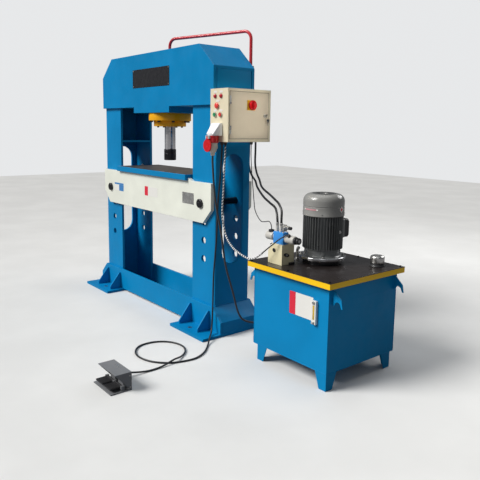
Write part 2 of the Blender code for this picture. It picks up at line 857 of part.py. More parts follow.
def cylinder_seat():
    """Thick pad and floor between the beam's plates, with two ribs up to the cap."""
    ys = (0, COLUMN_DEPTH)
    floor_top = BEAM_UNDERSIDE + SEAT_FLOOR
    half = TAB_WIDTH / 2
    made = box("cylinder_seat", PRESS_BLUE, (-half, half), ys, (SEAT_UNDERSIDE, floor_top))
    floor = box(
        "seat_floor", PRESS_BLUE, (GAP - INNER, INNER - GAP), ys, (BEAM_UNDERSIDE, floor_top)
    )
    ribs = [
        box(
            f"seat_rib_{side}",
            PRESS_BLUE,
            (x - SEAT_RIB / 2, x + SEAT_RIB / 2),
            ys,
            (floor_top - OVERLAP, BEAM_TOP - CAP_THICKNESS - GAP),
        )
        for side, x in (("left", -SEAT_RIB_SPREAD / 2), ("right", SEAT_RIB_SPREAD / 2))
    ]
    hole = rod(
        "seat_hole",
        PRESS_BLUE,
        (0, AXIS_Y, SEAT_UNDERSIDE - OVERLAP),
        (0, AXIS_Y, floor_top + OVERLAP),
        BARREL_RADIUS + SLIDE_CLEARANCE,
        28,
    )
    join(made, floor, *ribs)
    return cut(made, hole)


def rail_outline():
    return mirrored(
        [
            (OUTER + RAIL_REACH, COLUMN_FOOT),
            (OUTER + RAIL_REACH, RAIL_SHOULDER),
            (OUTER, RAIL_TOP),
        ]
    )


def base_rails():
    front = (-GAP - RAIL_THICKNESS, -GAP)
    rear = (COLUMN_DEPTH + GAP, COLUMN_DEPTH + GAP + RAIL_THICKNESS)
    for name, ends in (("base_front_rail", front), ("base_rear_rail", rear)):
        plate(name, PRESS_BLUE, "y", ends, rail_outline())


def gusset_outline(rear):
    """Triangular web between the sole and a rail; the rear one is turned round."""
    face = -2 * GAP - RAIL_THICKNESS
    foot = SOLE_THICKNESS - OVERLAP
    points = [
        (face, foot),
        (face, GUSSET_TOP),
        (face - GUSSET_LAND, GUSSET_TOP),
        (face - GUSSET_REACH, GUSSET_TOE),
        (face - GUSSET_REACH, foot),
    ]
    return [(COLUMN_DEPTH - y, z) for y, z in points] if rear else points


def foot(name, side):
    """Sole with anchor holes, four gussets and the cover of the base's end."""
    front = AXIS_Y - SOLE_LENGTH / 2
    rear = AXIS_Y + SOLE_LENGTH / 2
    xs = (INNER + GUSSET_OUTER - SOLE_INNER + COLUMN_WIDTH - GUSSET_OUTER, OUTER + SOLE_REACH)
    anchor_x = side * (OUTER - ANCHOR_FROM_CORNER)
    corners = [
        (side * xs[0], front),
        (side * xs[1], front),
        (side * xs[1], rear),
        (side * xs[0], rear),
    ]
    made = plate(
        name,
        PRESS_BLUE,
        "z",
        (0, SOLE_THICKNESS),
        corners,
        circle((anchor_x, front + ANCHOR_INSET), ANCHOR_RADIUS, 16),
        circle((anchor_x, rear - ANCHOR_INSET), ANCHOR_RADIUS, 16),
    )
    for place, x in (("inner", OUTER - GUSSET_INNER), ("outer", OUTER - GUSSET_OUTER)):
        for end, rear_one in (("front", False), ("rear", True)):
            half = GUSSET_THICKNESS / 2
            gusset = plate(
                f"{name}_{place}_{end}_gusset",
                PRESS_BLUE,
                "x",
                (side * x - half, side * x + half),
                gusset_outline(rear_one),
            )
            join(made, gusset)
    outer = OUTER + RAIL_REACH
    rise = RAIL_TOP - RAIL_SHOULDER
    slope = math.hypot(RAIL_REACH, rise)
    drop = END_COVER * slope / RAIL_REACH
    turn = END_COVER * (slope - rise) / RAIL_REACH
    web = OUTER + GAP
    top = RAIL_TOP - GAP * rise / RAIL_REACH
    cover_outline = [
        (web, top),
        (outer, RAIL_SHOULDER),
        (outer, SOLE_THICKNESS - OVERLAP),
        (outer - END_COVER, SOLE_THICKNESS - OVERLAP),
        (outer - END_COVER, RAIL_SHOULDER - turn),
        (web, top - drop),
    ]
    cover = plate(
        name + "_cover",
        PRESS_BLUE,
        "y",
        (0, COLUMN_DEPTH),
        [(side * x, z) for x, z in cover_outline],
    )
    return join(made, cover)


def table_plates():
    half = PIN_X + PLATE_PAST_PIN
    lug = TOP_LENGTH / 2 + GAP
    outline = mirrored(
        [
            (half - TABLE_CHAMFER_WIDTH, TABLE_PLATE_FOOT),
            (half, TABLE_PLATE_FOOT + TABLE_CHAMFER_HEIGHT),
            (half, TABLE_PLATE_TOP),
            (lug + STOP_LUG_LENGTH, TABLE_PLATE_TOP),
            (lug, TABLE_PLATE_TOP + STOP_LUG_HEIGHT),
            (lug, TABLE_PLATE_TOP),
        ]
    )
    holes = [circle((x, PIN_Z), PIN_HOLE_RADIUS) for x in (-PIN_X, PIN_X)]
    front = (-GAP - TABLE_PLATE, -GAP)
    rear = (COLUMN_DEPTH + GAP, COLUMN_DEPTH + GAP + TABLE_PLATE)
    for name, ends in (("table_front_plate", front), ("table_rear_plate", rear)):
        plate(name, TABLE_WHITE, "y", ends, outline, *holes)


def table_top():
    half = TOP_LENGTH / 2
    made = box(
        "table_top",
        PRESS_BLUE,
        (-half, half),
        (-TOP_OVERHANG, COLUMN_DEPTH + TOP_OVERHANG),
        (TABLE_PLATE_TOP + GAP, TABLE_TOP),
    )
    edge = made.modifiers.new("Edges", "BEVEL")
    edge.width = 0.003
    edge.segments = 1
    return made


def table_ribs():
    """Cross ribs and bottom tie between the table's side plates, and the tongue of the eye."""
    ys = (0, COLUMN_DEPTH)
    tie_z = TABLE_PLATE_TOP - TABLE_TIE_DROP
    tie_end = INNER - TABLE_TIE_INSET
    made = box("table_ribs", PRESS_BLUE, (-tie_end, tie_end), ys, (tie_z, tie_z + TABLE_TIE))
    for i, x in enumerate(
        (-TABLE_RIB_OUTER / 2, -TABLE_RIB_INNER / 2, TABLE_RIB_INNER / 2, TABLE_RIB_OUTER / 2)
    ):
        rib = box(
            f"table_rib_{i}",
            PRESS_BLUE,
            (x - TABLE_RIB / 2, x + TABLE_RIB / 2),
            ys,
            (tie_z + TABLE_TIE - OVERLAP, TABLE_PLATE_TOP),
        )
        join(made, rib)
    tongue_top = TABLE_PLATE_TOP - TONGUE_DROP
    tongue = box(
        "table_tongue",
        PRESS_BLUE,
        (-INNER - TONGUE_LENGTH, -TABLE_RIB_OUTER / 2),
        (TONGUE_Y - TONGUE_WIDTH / 2, TONGUE_Y + TONGUE_WIDTH / 2),
        (tongue_top - TONGUE_THICKNESS, tongue_top),
    )
    return join(made, tongue)


def lifting_eye():
    """Ring of round bar on a turned collar, standing on the table's tongue."""
    x = -INNER - TONGUE_LENGTH + EYE_INSET
    foot_z = TABLE_PLATE_TOP - TONGUE_DROP + GAP
    collar_top = foot_z + EYE_COLLAR_HEIGHT
    ring_z = collar_top + EYE_RING_RADIUS + EYE_WIRE_RADIUS - OVERLAP
    profile = [
        (0, collar_top),
        (EYE_WIRE_RADIUS + OVERLAP, collar_top),
        (EYE_COLLAR_RADIUS, foot_z + EYE_COLLAR_HEIGHT / 2),
        (EYE_COLLAR_RADIUS, foot_z),
        (0, foot_z),
    ]
    made = turned("lifting_eye", BRIGHT_STEEL, profile, (x, TONGUE_Y, 0), steps=12)
    bpy.ops.mesh.primitive_torus_add(
        major_segments=16,
        minor_segments=8,
        major_radius=EYE_RING_RADIUS,
        minor_radius=EYE_WIRE_RADIUS,
        location=(x, TONGUE_Y, ring_z),
        rotation=(math.pi / 2, 0, 0),
    )
    ring = bpy.context.object
    ring.name = "eye_ring"
    for holder in list(ring.users_collection):
        holder.objects.unlink(ring)
    keep(ring, BRIGHT_STEEL)
    return join(made, ring)


def table_pin(name, side):
    """Turned pin with a head, pushed through the table's plates and the column's flanges."""
    head_back = -TABLE_PLATE - 2 * GAP
    length = COLUMN_DEPTH + GAP + TABLE_PLATE + PIN_STICK_OUT - head_back
    profile = [
        (0, PIN_HEAD),
        (PIN_HEAD_RADIUS - 0.002, PIN_HEAD),
        (PIN_HEAD_RADIUS, PIN_HEAD - 0.002),
        (PIN_HEAD_RADIUS, 0),
        (PIN_RADIUS, 0),
        (PIN_RADIUS, PIN_END_CHAMFER - length),
        (PIN_RADIUS - PIN_END_CHAMFER, -length),
        (0, -length),
    ]
    return turned(
        name, DARK_STEEL, profile, (side * PIN_X, head_back, PIN_Z), (0, -1, 0), steps=16
    )


def hex_heads(name, colour, centre, ring_radius, count, radius, top, height, start=0.0):
    """Bolt heads hanging in a ring under a flat face, reaching a little into it."""
    return one_mesh(
        name,
        colour,
        [
            rod(f"{name}_{i}", colour, (x, y, top - height), (x, y, top + OVERLAP), radius, 6)
            for i, (x, y) in enumerate(spread_round(centre, ring_radius, count, start))
        ],
    )


def cylinder_barrel():
    """Barrel closed at the top by a welded cap with the top port, and a flange at its foot."""
    profile = [
        (PORT_RADIUS, BARREL_TOP + PORT_BOSS_HEIGHT),
        (PORT_BOSS_RADIUS, BARREL_TOP + PORT_BOSS_HEIGHT),
        (PORT_BOSS_RADIUS, BARREL_TOP),
        (BARREL_RADIUS - 0.008, BARREL_TOP),
        (BARREL_RADIUS, BARREL_TOP - 0.008),
        (BARREL_RADIUS, FLANGE_TOP),
        (FLANGE_RADIUS, FLANGE_TOP),
        (FLANGE_RADIUS, BARREL_BASE),
        (BORE_RADIUS, BARREL_BASE),
        (BORE_RADIUS, BARREL_TOP - BARREL_CAP),
        (PORT_RADIUS, BARREL_TOP - BARREL_CAP),
    ]
    made = turned("cylinder_barrel", CYLINDER_ORANGE, profile, (0, AXIS_Y, 0), steps=28)
    bolts = hex_heads(
        "flange_bolts",
        CYLINDER_ORANGE,
        (0, AXIS_Y),
        (GLAND_RADIUS + FLANGE_RADIUS) / 2,
        FLANGE_BOLTS,
        FLANGE_BOLT_RADIUS,
        BARREL_BASE,
        FLANGE_BOLT_HEIGHT,
        math.pi / FLANGE_BOLTS,
    )
    return join(made, bolts)


def cylinder_gland():
    """Flanged ring that guides the rod, with a spigot up into the bore."""
    bore = ROD_RADIUS + ROD_CLEARANCE
    spigot = BORE_RADIUS - SLIDE_CLEARANCE
    profile = [
        (bore, GLAND_TOP + GLAND_SPIGOT),
        (spigot - 0.002, GLAND_TOP + GLAND_SPIGOT),
        (spigot, GLAND_TOP + GLAND_SPIGOT - 0.002),
        (spigot, GLAND_TOP),
        (GLAND_RADIUS, GLAND_TOP),
        (GLAND_RADIUS, GLAND_BASE + 0.003),
        (GLAND_RADIUS - 0.003, GLAND_BASE),
        (bore, GLAND_BASE),
    ]
    made = turned("cylinder_gland", CYLINDER_ORANGE, profile, (0, AXIS_Y, 0), steps=28)
    bolts = hex_heads(
        "gland_bolts",
        CYLINDER_ORANGE,
        (0, AXIS_Y),
        (ROD_RADIUS + GLAND_RADIUS) / 2 + GLAND_BOLT_RADIUS,
        GLAND_BOLTS,
        GLAND_BOLT_RADIUS,
        GLAND_BASE,
        GLAND_BOLT_HEIGHT,
    )
    return join(made, bolts)


def piston():
    """Piston with two seal grooves, screwed onto the rod's upper spigot."""
    radius = BORE_RADIUS - SLIDE_CLEARANCE
    top = PISTON_BASE + PISTON_LENGTH
    bore = SPIGOT_RADIUS + SLIDE_CLEARANCE
    profile = [(0, top), (radius - 0.002, top), (radius, top - 0.002)]
    for share in (2 / 3, 1 / 3):
        middle = PISTON_BASE + PISTON_LENGTH * share
        profile += [
            (radius, middle + SEAL_WIDTH / 2),
            (radius - SEAL_GROOVE, middle + SEAL_WIDTH / 2),
            (radius - SEAL_GROOVE, middle - SEAL_WIDTH / 2),
            (radius, middle - SEAL_WIDTH / 2),
        ]
    profile += [
        (radius, PISTON_BASE + 0.002),
        (radius - 0.002, PISTON_BASE),
        (bore, PISTON_BASE),
        (bore, PISTON_BASE + SPIGOT_LENGTH + SLIDE_CLEARANCE),
        (0, PISTON_BASE + SPIGOT_LENGTH + SLIDE_CLEARANCE),
    ]
    return turned("piston", BARE_STEEL, profile, (0, AXIS_Y, 0), steps=28)


def ram_rod():
    top = PISTON_BASE - GAP
    bottom = HEAD_BASE + HEAD_LENGTH + GAP
    profile = [
        (0, top + SPIGOT_LENGTH),
        (SPIGOT_RADIUS, top + SPIGOT_LENGTH),
        (SPIGOT_RADIUS, top),
        (ROD_RADIUS, top),
        (ROD_RADIUS, bottom),
        (SPIGOT_RADIUS, bottom),
        (SPIGOT_RADIUS, bottom - HEAD_SOCKET + SLIDE_CLEARANCE),
        (0, bottom - HEAD_SOCKET + SLIDE_CLEARANCE),
    ]
    return turned("ram_rod", CHROME, profile, (0, AXIS_Y, 0), steps=28)


def ram_head():
    top = HEAD_BASE + HEAD_LENGTH
    bore = SPIGOT_RADIUS + SLIDE_CLEARANCE
    profile = [
        (0, top - HEAD_SOCKET),
        (bore, top - HEAD_SOCKET),
        (bore, top),
        (HEAD_RADIUS - 0.002, top),
        (HEAD_RADIUS, top - 0.002),
        (HEAD_RADIUS, HEAD_BASE + 0.002),
        (HEAD_RADIUS - 0.002, HEAD_BASE),
        (0, HEAD_BASE),
    ]
    return turned("ram_head", DARK_STEEL, profile, (0, AXIS_Y, 0), steps=28)


def bend_between(before, corner, after, radius, steps=6):
    """Points along the arc that rounds one corner of a pipe's route."""
    inward = (before - corner).normalized()
    outward = (after - corner).normalized()
    half = inward.angle(outward) / 2
    start = corner + inward * radius / math.tan(half)
    end = corner + outward * radius / math.tan(half)
    middle = corner + (inward + outward).normalized() * radius / math.sin(half)
    first, last = start - middle, end - middle
    return [middle + first.slerp(last, i / steps).normalized() * radius for i in range(steps + 1)]


def pipe_route(corners, radius):
    """A pipe's straight runs, with every inner corner rounded."""
    corners = [Vector(corner) for corner in corners]
    points = [corners[0]]
    for before, corner, after in zip(corners, corners[1:], corners[2:]):
        points += bend_between(before, corner, after, radius)
    return points + [corners[-1]]


def oil_pipes():
    start_z = BARREL_TOP + PORT_BOSS_HEIGHT + GAP
    behind = COLUMN_DEPTH + GAP + BEAM_PLATE + PIPE_OVER_BEAM
    over = BEAM_TOP + PIPE_RISE
    top_route = [
        (0, AXIS_Y, start_z),
        (0, AXIS_Y, over),
        (TOP_PIPE_X, behind, over),
        (TOP_PIPE_X, behind, PIPE_FOOT),
    ]
    tube("top_port_pipe", PIPE_RED, pipe_route(top_route, PIPE_BEND), PIPE_RADIUS, 3)
    lower_behind = behind + PIPE_SPREAD
    lower_route = [
        (0, AXIS_Y + BARREL_RADIUS + GAP, SIDE_PORT_HEIGHT),
        (0, lower_behind, SIDE_PORT_HEIGHT),
        (LOWER_PIPE_X, lower_behind, SIDE_PORT_HEIGHT),
        (LOWER_PIPE_X, lower_behind, PIPE_FOOT),
    ]
    tube(
        "lower_port_pipe", PIPE_RED, pipe_route(lower_route, 2 * PIPE_RADIUS), PIPE_RADIUS, 3
    )


def box_hole(name, x, z, radius):
    """Drill through the box's front wall."""
    return rod(
        name,
        BOX_BEIGE,
        (x, BOX_FRONT - OVERLAP, z),
        (x, BOX_FRONT + BOX_WALL + OVERLAP, z),
        radius,
        16,
    )


def hinge_heights():
    return (DOOR_BOTTOM + HINGE_INSET, DOOR_TOP - HINGE_INSET)


def box_shell():
    """Sheet-steel box, open at the door, with hinge knuckles, latch lip and cable glands."""
    made = box(
        "box_shell",
        BOX_BEIGE,
        (BOX_BACK, BOX_FACE),
        (BOX_FRONT, BOX_REAR),
        (BOX_BOTTOM, BOX_TOP),
    )
    wall = BOX_WALL
    cavity = box(
        "box_cavity",
        BOX_BEIGE,
        (BOX_BACK + wall, BOX_FACE - wall),
        (BOX_FRONT + wall, BOX_REAR - wall),
        (BOX_BOTTOM + wall, BOX_TOP - wall),
    )
    doorway = box(
        "box_doorway",
        BOX_BEIGE,
        (BOX_FACE - wall - OVERLAP, BOX_FACE + OVERLAP),
        (DOOR_FRONT - DOOR_CLEARANCE, DOOR_REAR + DOOR_CLEARANCE),
        (DOOR_BOTTOM - DOOR_CLEARANCE, DOOR_TOP + DOOR_CLEARANCE),
    )
    cut(made, cavity, doorway)
    hole_radius = STEM_RADIUS + STEM_CLEARANCE
    places = [(x, LAMP_Z) for x in LAMP_XS] + [(x, BUTTON_Z) for x in BUTTON_XS]
    for i, (x, z) in enumerate(places + [(ESTOP_X, ESTOP_Z)]):
        cut(made, box_hole(f"box_hole_{i}", x, z, hole_radius))
    for i, place in enumerate((PEDAL_GLAND_PLACE, CONTROL_GLAND_PLACE, SOLENOID_GLAND_PLACE)):
        x, y = BOX_BACK + place[0], place[1]
        gland = rod(
            f"box_gland_{i}",
            BOX_BEIGE,
            (x, y, BOX_BOTTOM - BOX_GLAND_LENGTH),
            (x, y, BOX_BOTTOM + wall / 2),
            BOX_GLAND_RADIUS,
            12,
        )
        join(made, gland)
    for i, z in enumerate(hinge_heights()):
        for end in (-1, 1):
            start = z + end * (HINGE_KNUCKLE / 2 + GAP)
            knuckle = rod(
                f"box_knuckle_{i}_{end}",
                BOX_BEIGE,
                (HINGE_X, DOOR_FRONT, start),
                (HINGE_X, DOOR_FRONT, start + end * HINGE_KNUCKLE),
                HINGE_RADIUS,
                12,
            )
            leaf = box(
                f"box_leaf_{i}_{end}",
                BOX_BEIGE,
                (BOX_FACE - wall / 2, HINGE_X),
                (DOOR_FRONT - HINGE_RADIUS * 0.8, DOOR_FRONT - HINGE_RADIUS * 0.4),
                sorted((start, start + end * HINGE_KNUCKLE)),
            )
            join(made, leaf, knuckle)
        pin = rod(
            f"box_hinge_pin_{i}",
            BOX_BEIGE,
            (HINGE_X, DOOR_FRONT, z - HINGE_KNUCKLE),
            (HINGE_X, DOOR_FRONT, z + HINGE_KNUCKLE),
            HINGE_RADIUS / 2,
            12,
        )
        join(made, pin)
    lip = box(
        "box_latch_lip",
        BOX_BEIGE,
        (DOOR_FACE - LATCH_DEPTH - wall, DOOR_FACE - LATCH_DEPTH),
        (BOX_REAR - wall - LATCH_LIP, BOX_REAR - wall / 2),
        (LOCK_Z - LATCH_WIDTH / 2, LOCK_Z + LATCH_WIDTH / 2),
    )
    return join(made, lip)


def box_door():
    """Pan-shaped door with a plate for the main switch and a bored middle knuckle per hinge."""
    made = box(
        "box_door",
        BOX_BEIGE,
        (DOOR_FACE - DOOR_RETURN, DOOR_FACE),
        (DOOR_FRONT, DOOR_REAR),
        (DOOR_BOTTOM, DOOR_TOP),
    )
    sheet = DOOR_SHEET
    pan = box(
        "door_pan",
        BOX_BEIGE,
        (DOOR_FACE - DOOR_RETURN - OVERLAP, DOOR_FACE - sheet),
        (DOOR_FRONT + sheet, DOOR_REAR - sheet),
        (DOOR_BOTTOM + sheet, DOOR_TOP - sheet),
    )
    cut(made, pan)
    switch_plate = box(
        "door_switch_plate",
        BOX_BEIGE,
        (DOOR_FACE - sheet / 2, DOOR_FACE + SWITCH_PLATE),
        (SWITCH_Y - SWITCH_PLATE_WIDTH / 2, SWITCH_Y + SWITCH_PLATE_WIDTH / 2),
        (SWITCH_Z - SWITCH_PLATE_HEIGHT / 2, SWITCH_Z + SWITCH_PLATE_HEIGHT / 2),
    )
    join(made, switch_plate)
    for i, z in enumerate(hinge_heights()):
        half = HINGE_KNUCKLE / 2
        knuckle = rod(
            f"door_knuckle_{i}",
            BOX_BEIGE,
            (HINGE_X, DOOR_FRONT, z - half),
            (HINGE_X, DOOR_FRONT, z + half),
            HINGE_RADIUS,
            12,
        )
        leaf = box(
            f"door_leaf_{i}",
            BOX_BEIGE,
            (DOOR_FACE - sheet / 2, DOOR_FACE + sheet),
            (DOOR_FRONT + HINGE_RADIUS / 3, DOOR_FRONT + 3 * HINGE_RADIUS),
            (z - half, z + half),
        )
        bore = rod(
            f"door_knuckle_bore_{i}",
            BOX_BEIGE,
            (HINGE_X, DOOR_FRONT, z - HINGE_KNUCKLE),
            (HINGE_X, DOOR_FRONT, z + HINGE_KNUCKLE),
            HINGE_RADIUS / 2 + SLIDE_CLEARANCE,
            12,
        )
        join(made, leaf, knuckle)
        cut(made, bore)
    drills = (
        ("door_switch_hole", SWITCH_Y, SWITCH_Z, SWITCH_SHAFT_RADIUS),
        ("door_lock_hole", LOCK_Y, LOCK_Z, LOCK_RADIUS),
    )
    for name, y, z, radius in drills:
        hole = rod(
            name,
            BOX_BEIGE,
            (DOOR_FACE - sheet - OVERLAP, y, z),
            (DOOR_FACE + SWITCH_PLATE + OVERLAP, y, z),
            radius + SLIDE_CLEARANCE,
        )
        cut(made, hole)
    return set_origin(made, (HINGE_X, DOOR_FRONT, (DOOR_BOTTOM + DOOR_TOP) / 2))


def main_switch_knob():
    """Round disc with a bar grip, on a shaft that reaches through the door."""
    base = DOOR_FACE + SWITCH_PLATE + GAP
    profile = [
        (0, SWITCH_DISC),
        (SWITCH_DISC_RADIUS - 0.003, SWITCH_DISC),
        (SWITCH_DISC_RADIUS, SWITCH_DISC - 0.003),
        (SWITCH_DISC_RADIUS, 0),
        (SWITCH_SHAFT_RADIUS, 0),
        (SWITCH_SHAFT_RADIUS, -SWITCH_REACH),
        (0, -SWITCH_REACH),
    ]
    made = turned(
        "main_switch_knob", SIGNAL_RED, profile, (base, SWITCH_Y, SWITCH_Z), (1, 0, 0), steps=24
    )
    grip = box(
        "switch_grip",
        SIGNAL_RED,
        (base + SWITCH_DISC - OVERLAP, base + SWITCH_DISC + SWITCH_GRIP),
        (SWITCH_Y - SWITCH_GRIP_WIDTH / 2, SWITCH_Y + SWITCH_GRIP_WIDTH / 2),
        (
            SWITCH_Z - SWITCH_DISC_RADIUS + 0.004,
            SWITCH_Z + SWITCH_DISC_RADIUS - 0.004,
        ),
    )
    return join(made, grip)


def door_lock():
    """Lock with its cam hanging down, unlocked, and the key in it."""
    cam_face = DOOR_FACE - LATCH_DEPTH - BOX_WALL - LOCK_CAM_PLAY
    depth = DOOR_FACE - cam_face
    profile = [
        (0, LOCK_HEAD),
        (LOCK_HEAD_RADIUS - 0.001, LOCK_HEAD),
        (LOCK_HEAD_RADIUS, LOCK_HEAD - 0.001),
        (LOCK_HEAD_RADIUS, GAP),
        (LOCK_RADIUS, GAP),
        (LOCK_RADIUS, -depth - LOCK_CAM),
        (0, -depth - LOCK_CAM),
    ]
    made = turned(
        "door_lock", BRIGHT_STEEL, profile, (DOOR_FACE, LOCK_Y, LOCK_Z), (1, 0, 0), steps=20
    )
    cam = box(
        "lock_cam",
        BRIGHT_STEEL,
        (cam_face - LOCK_CAM, cam_face),
        (LOCK_Y - LOCK_CAM_WIDTH / 2, LOCK_Y + LOCK_CAM_WIDTH / 2),
        (LOCK_Z - LOCK_CAM_LENGTH, LOCK_Z),
    )
    key = box(
        "lock_key",
        BRIGHT_STEEL,
        (DOOR_FACE + LOCK_HEAD - OVERLAP, DOOR_FACE + LOCK_HEAD + KEY_LENGTH),
        (LOCK_Y - KEY_THICKNESS / 2, LOCK_Y + KEY_THICKNESS / 2),
        (LOCK_Z - KEY_WIDTH / 2, LOCK_Z + KEY_WIDTH / 2),
    )
    return join(made, cam, key)


def front_device(name, colour, x, z, cap):
    """A button or lamp: a cap profile outside the box's front wall and a stem through it."""
    profile = cap + [(STEM_RADIUS, cap[-1][1]), (STEM_RADIUS, -STEM_LENGTH), (0, -STEM_LENGTH)]
    return turned(name, colour, profile, (x, BOX_FRONT, z), (0, -1, 0), steps=16)


def button_cap(radius, height):
    top = BUTTON_STAND + height
    return [(0, top), (radius * 0.8, top), (radius, top - 0.002), (radius, BUTTON_STAND)]


def mushroom_cap():
    top = BUTTON_STAND + ESTOP_HEIGHT
    return [
        (0, top),
        (ESTOP_RADIUS * 0.6, top - 0.001),
        (ESTOP_RADIUS * 0.9, top - 0.003),
        (ESTOP_RADIUS, top - 0.006),
        (ESTOP_RADIUS, BUTTON_STAND + 0.003),
        (ESTOP_RADIUS * 0.75, BUTTON_STAND),
    ]


def lamp_cap():
    """Domed lens that touches the wall."""
    return [
        (0, LAMP_HEIGHT),
        (LAMP_RADIUS * 0.5, LAMP_HEIGHT * 0.92),
        (LAMP_RADIUS * 0.85, LAMP_HEIGHT * 0.7),
        (LAMP_RADIUS, LAMP_HEIGHT * 0.35),
        (LAMP_RADIUS, GAP),
    ]


def front_devices():
    front_device("signal_lamp_left", SIGNAL_RED, LAMP_XS[0], LAMP_Z, lamp_cap())
    front_device("signal_lamp_right", SIGNAL_RED, LAMP_XS[1], LAMP_Z, lamp_cap())
    front_device("estop_button", SIGNAL_RED, ESTOP_X, ESTOP_Z, mushroom_cap())
    cap = button_cap(BUTTON_RADIUS, BUTTON_HEIGHT)
    front_device("start_button", SIGNAL_GREEN, BUTTON_XS[0], BUTTON_Z, cap)
    front_device("stop_button", SIGNAL_RED, BUTTON_XS[1], BUTTON_Z, cap)


def control_gear():
    """Mounting plate on standoffs, with two rails, contactors, terminals and a transformer."""
    back = BOX_BACK + BOX_WALL + GAP
    plate_back = back + GEAR_STAND
    plate_face = plate_back + GEAR_PLATE
    ys = (BOX_FRONT + GEAR_MARGIN, BOX_REAR - GEAR_MARGIN)
    zs = (BOX_BOTTOM + GEAR_MARGIN, BOX_TOP - GEAR_MARGIN)
    made = box("control_gear", PLASTIC_WHITE, (plate_back, plate_face), ys, zs)
    for i, y in enumerate((ys[0] + GEAR_MARGIN / 2, ys[1] - GEAR_MARGIN / 2)):
        for j, z in enumerate((zs[0] + GEAR_MARGIN / 2, zs[1] - GEAR_MARGIN / 2)):
            stand = rod(
                f"gear_stand_{i}_{j}",
                PLASTIC_WHITE,
                (back, y, z),
                (plate_back + GEAR_PLATE / 2, y, z),
                0.005,
                8,
            )
            join(made, stand)
    rail_face = plate_face + GEAR_RAIL_DEPTH
    span = ys[1] - ys[0] - GEAR_MARGIN
    first = ys[0] + GEAR_MARGIN / 2
    upper = zs[1] - (zs[1] - zs[0]) * 0.28
    lower = zs[0] + (zs[1] - zs[0]) * 0.22
    for name, z in (("upper", upper), ("lower", lower)):
        rail = box(
            f"gear_{name}_rail",
            PLASTIC_WHITE,
            (plate_face - GEAR_PLATE / 2, rail_face),
            (first, first + span),
            (z - GEAR_RAIL_WIDTH / 2, z + GEAR_RAIL_WIDTH / 2),
        )
        join(made, rail)
    devices = (
        ("contactor_left", 0.03, 0.045, upper, 0.082, 0.078),
        ("contactor_right", 0.095, 0.045, upper, 0.082, 0.078),
        ("breaker", 0.17, 0.054, upper, 0.085, 0.062),
        ("transformer", 0.02, 0.075, lower, 0.075, 0.07),
        ("terminals", 0.13, 0.12, lower, 0.045, 0.042),
    )
    for name, along, width, z, height, depth in devices:
        device = box(
            "gear_" + name,
            PLASTIC_WHITE,
            (rail_face - GEAR_RAIL_DEPTH / 2, rail_face + depth),
            (first + along, first + along + width),
            (z - height / 2, z + height / 2),
        )
        join(made, device)
    return made


def hull(name, colour, points):
    """The solid that just holds the points."""
    shape = bmesh.new()
    for point in points:
        shape.verts.new(point)
    bmesh.ops.convex_hull(shape, input=shape.verts)
    return from_bmesh(name, colour, shape)


def socket_housing():
    """Wedge on the box's front that carries the round collar of the socket and the lid's ears."""
    back = BOX_FRONT - GAP
    front = back - SOCKET_REACH
    bottom = SOCKET_TOP - SOCKET_HEIGHT
    points = []
    for end in (-1, 1):
        wide = SOCKET_X + end * SOCKET_BACK_WIDTH / 2
        narrow = SOCKET_X + end * SOCKET_FRONT_WIDTH / 2
        points += [
            (wide, back, SOCKET_TOP),
            (wide, back - SOCKET_REACH / 4, SOCKET_TOP),
            (wide, back, bottom),
            (wide, back - SOCKET_REACH / 3, bottom),
            (narrow, front, SOCKET_TOP - SOCKET_FRONT_DROP),
            (narrow, front, bottom + 0.008),
        ]
    made = hull("socket_housing", PLASTIC_WHITE, points)
    collar = rod(
        "socket_collar",
        PLASTIC_WHITE,
        (SOCKET_X, SOCKET_AXIS_Y, COLLAR_BOTTOM + COLLAR_LENGTH),
        (SOCKET_X, SOCKET_AXIS_Y, COLLAR_BOTTOM),
        COLLAR_RADIUS,
        24,
    )
    bore = rod(
        "socket_bore",
        PLASTIC_WHITE,
        (SOCKET_X, SOCKET_AXIS_Y, COLLAR_BOTTOM + COLLAR_LENGTH - COLLAR_WALL),
        (SOCKET_X, SOCKET_AXIS_Y, COLLAR_BOTTOM - OVERLAP),
        COLLAR_RADIUS - COLLAR_WALL,
        24,
    )
    hinge_y = SOCKET_AXIS_Y - COLLAR_RADIUS - LID_BARREL_RADIUS - DOOR_CLEARANCE
    join(made, collar)
    for end in (-1, 1):
        inner = SOCKET_X + end * (LID_BARREL_LENGTH / 2 + GAP)
        ear = box(
            f"socket_ear_{end}",
            PLASTIC_WHITE,
            sorted((inner, inner + end * LID_EAR)),
            (hinge_y - LID_BARREL_RADIUS, SOCKET_AXIS_Y - COLLAR_RADIUS + 2 * COLLAR_WALL),
            (LID_HINGE_Z - LID_BARREL_RADIUS, LID_HINGE_Z + 3 * LID_BARREL_RADIUS),
        )
        join(made, ear)
    pin = rod(
        "socket_lid_pin",
        PLASTIC_WHITE,
        (SOCKET_X - LID_BARREL_LENGTH / 2 - LID_EAR / 2, hinge_y, LID_HINGE_Z),
        (SOCKET_X + LID_BARREL_LENGTH / 2 + LID_EAR / 2, hinge_y, LID_HINGE_Z),
        LID_PIN_RADIUS,
        12,
    )
    cut(made, bore)
    return join(made, pin)


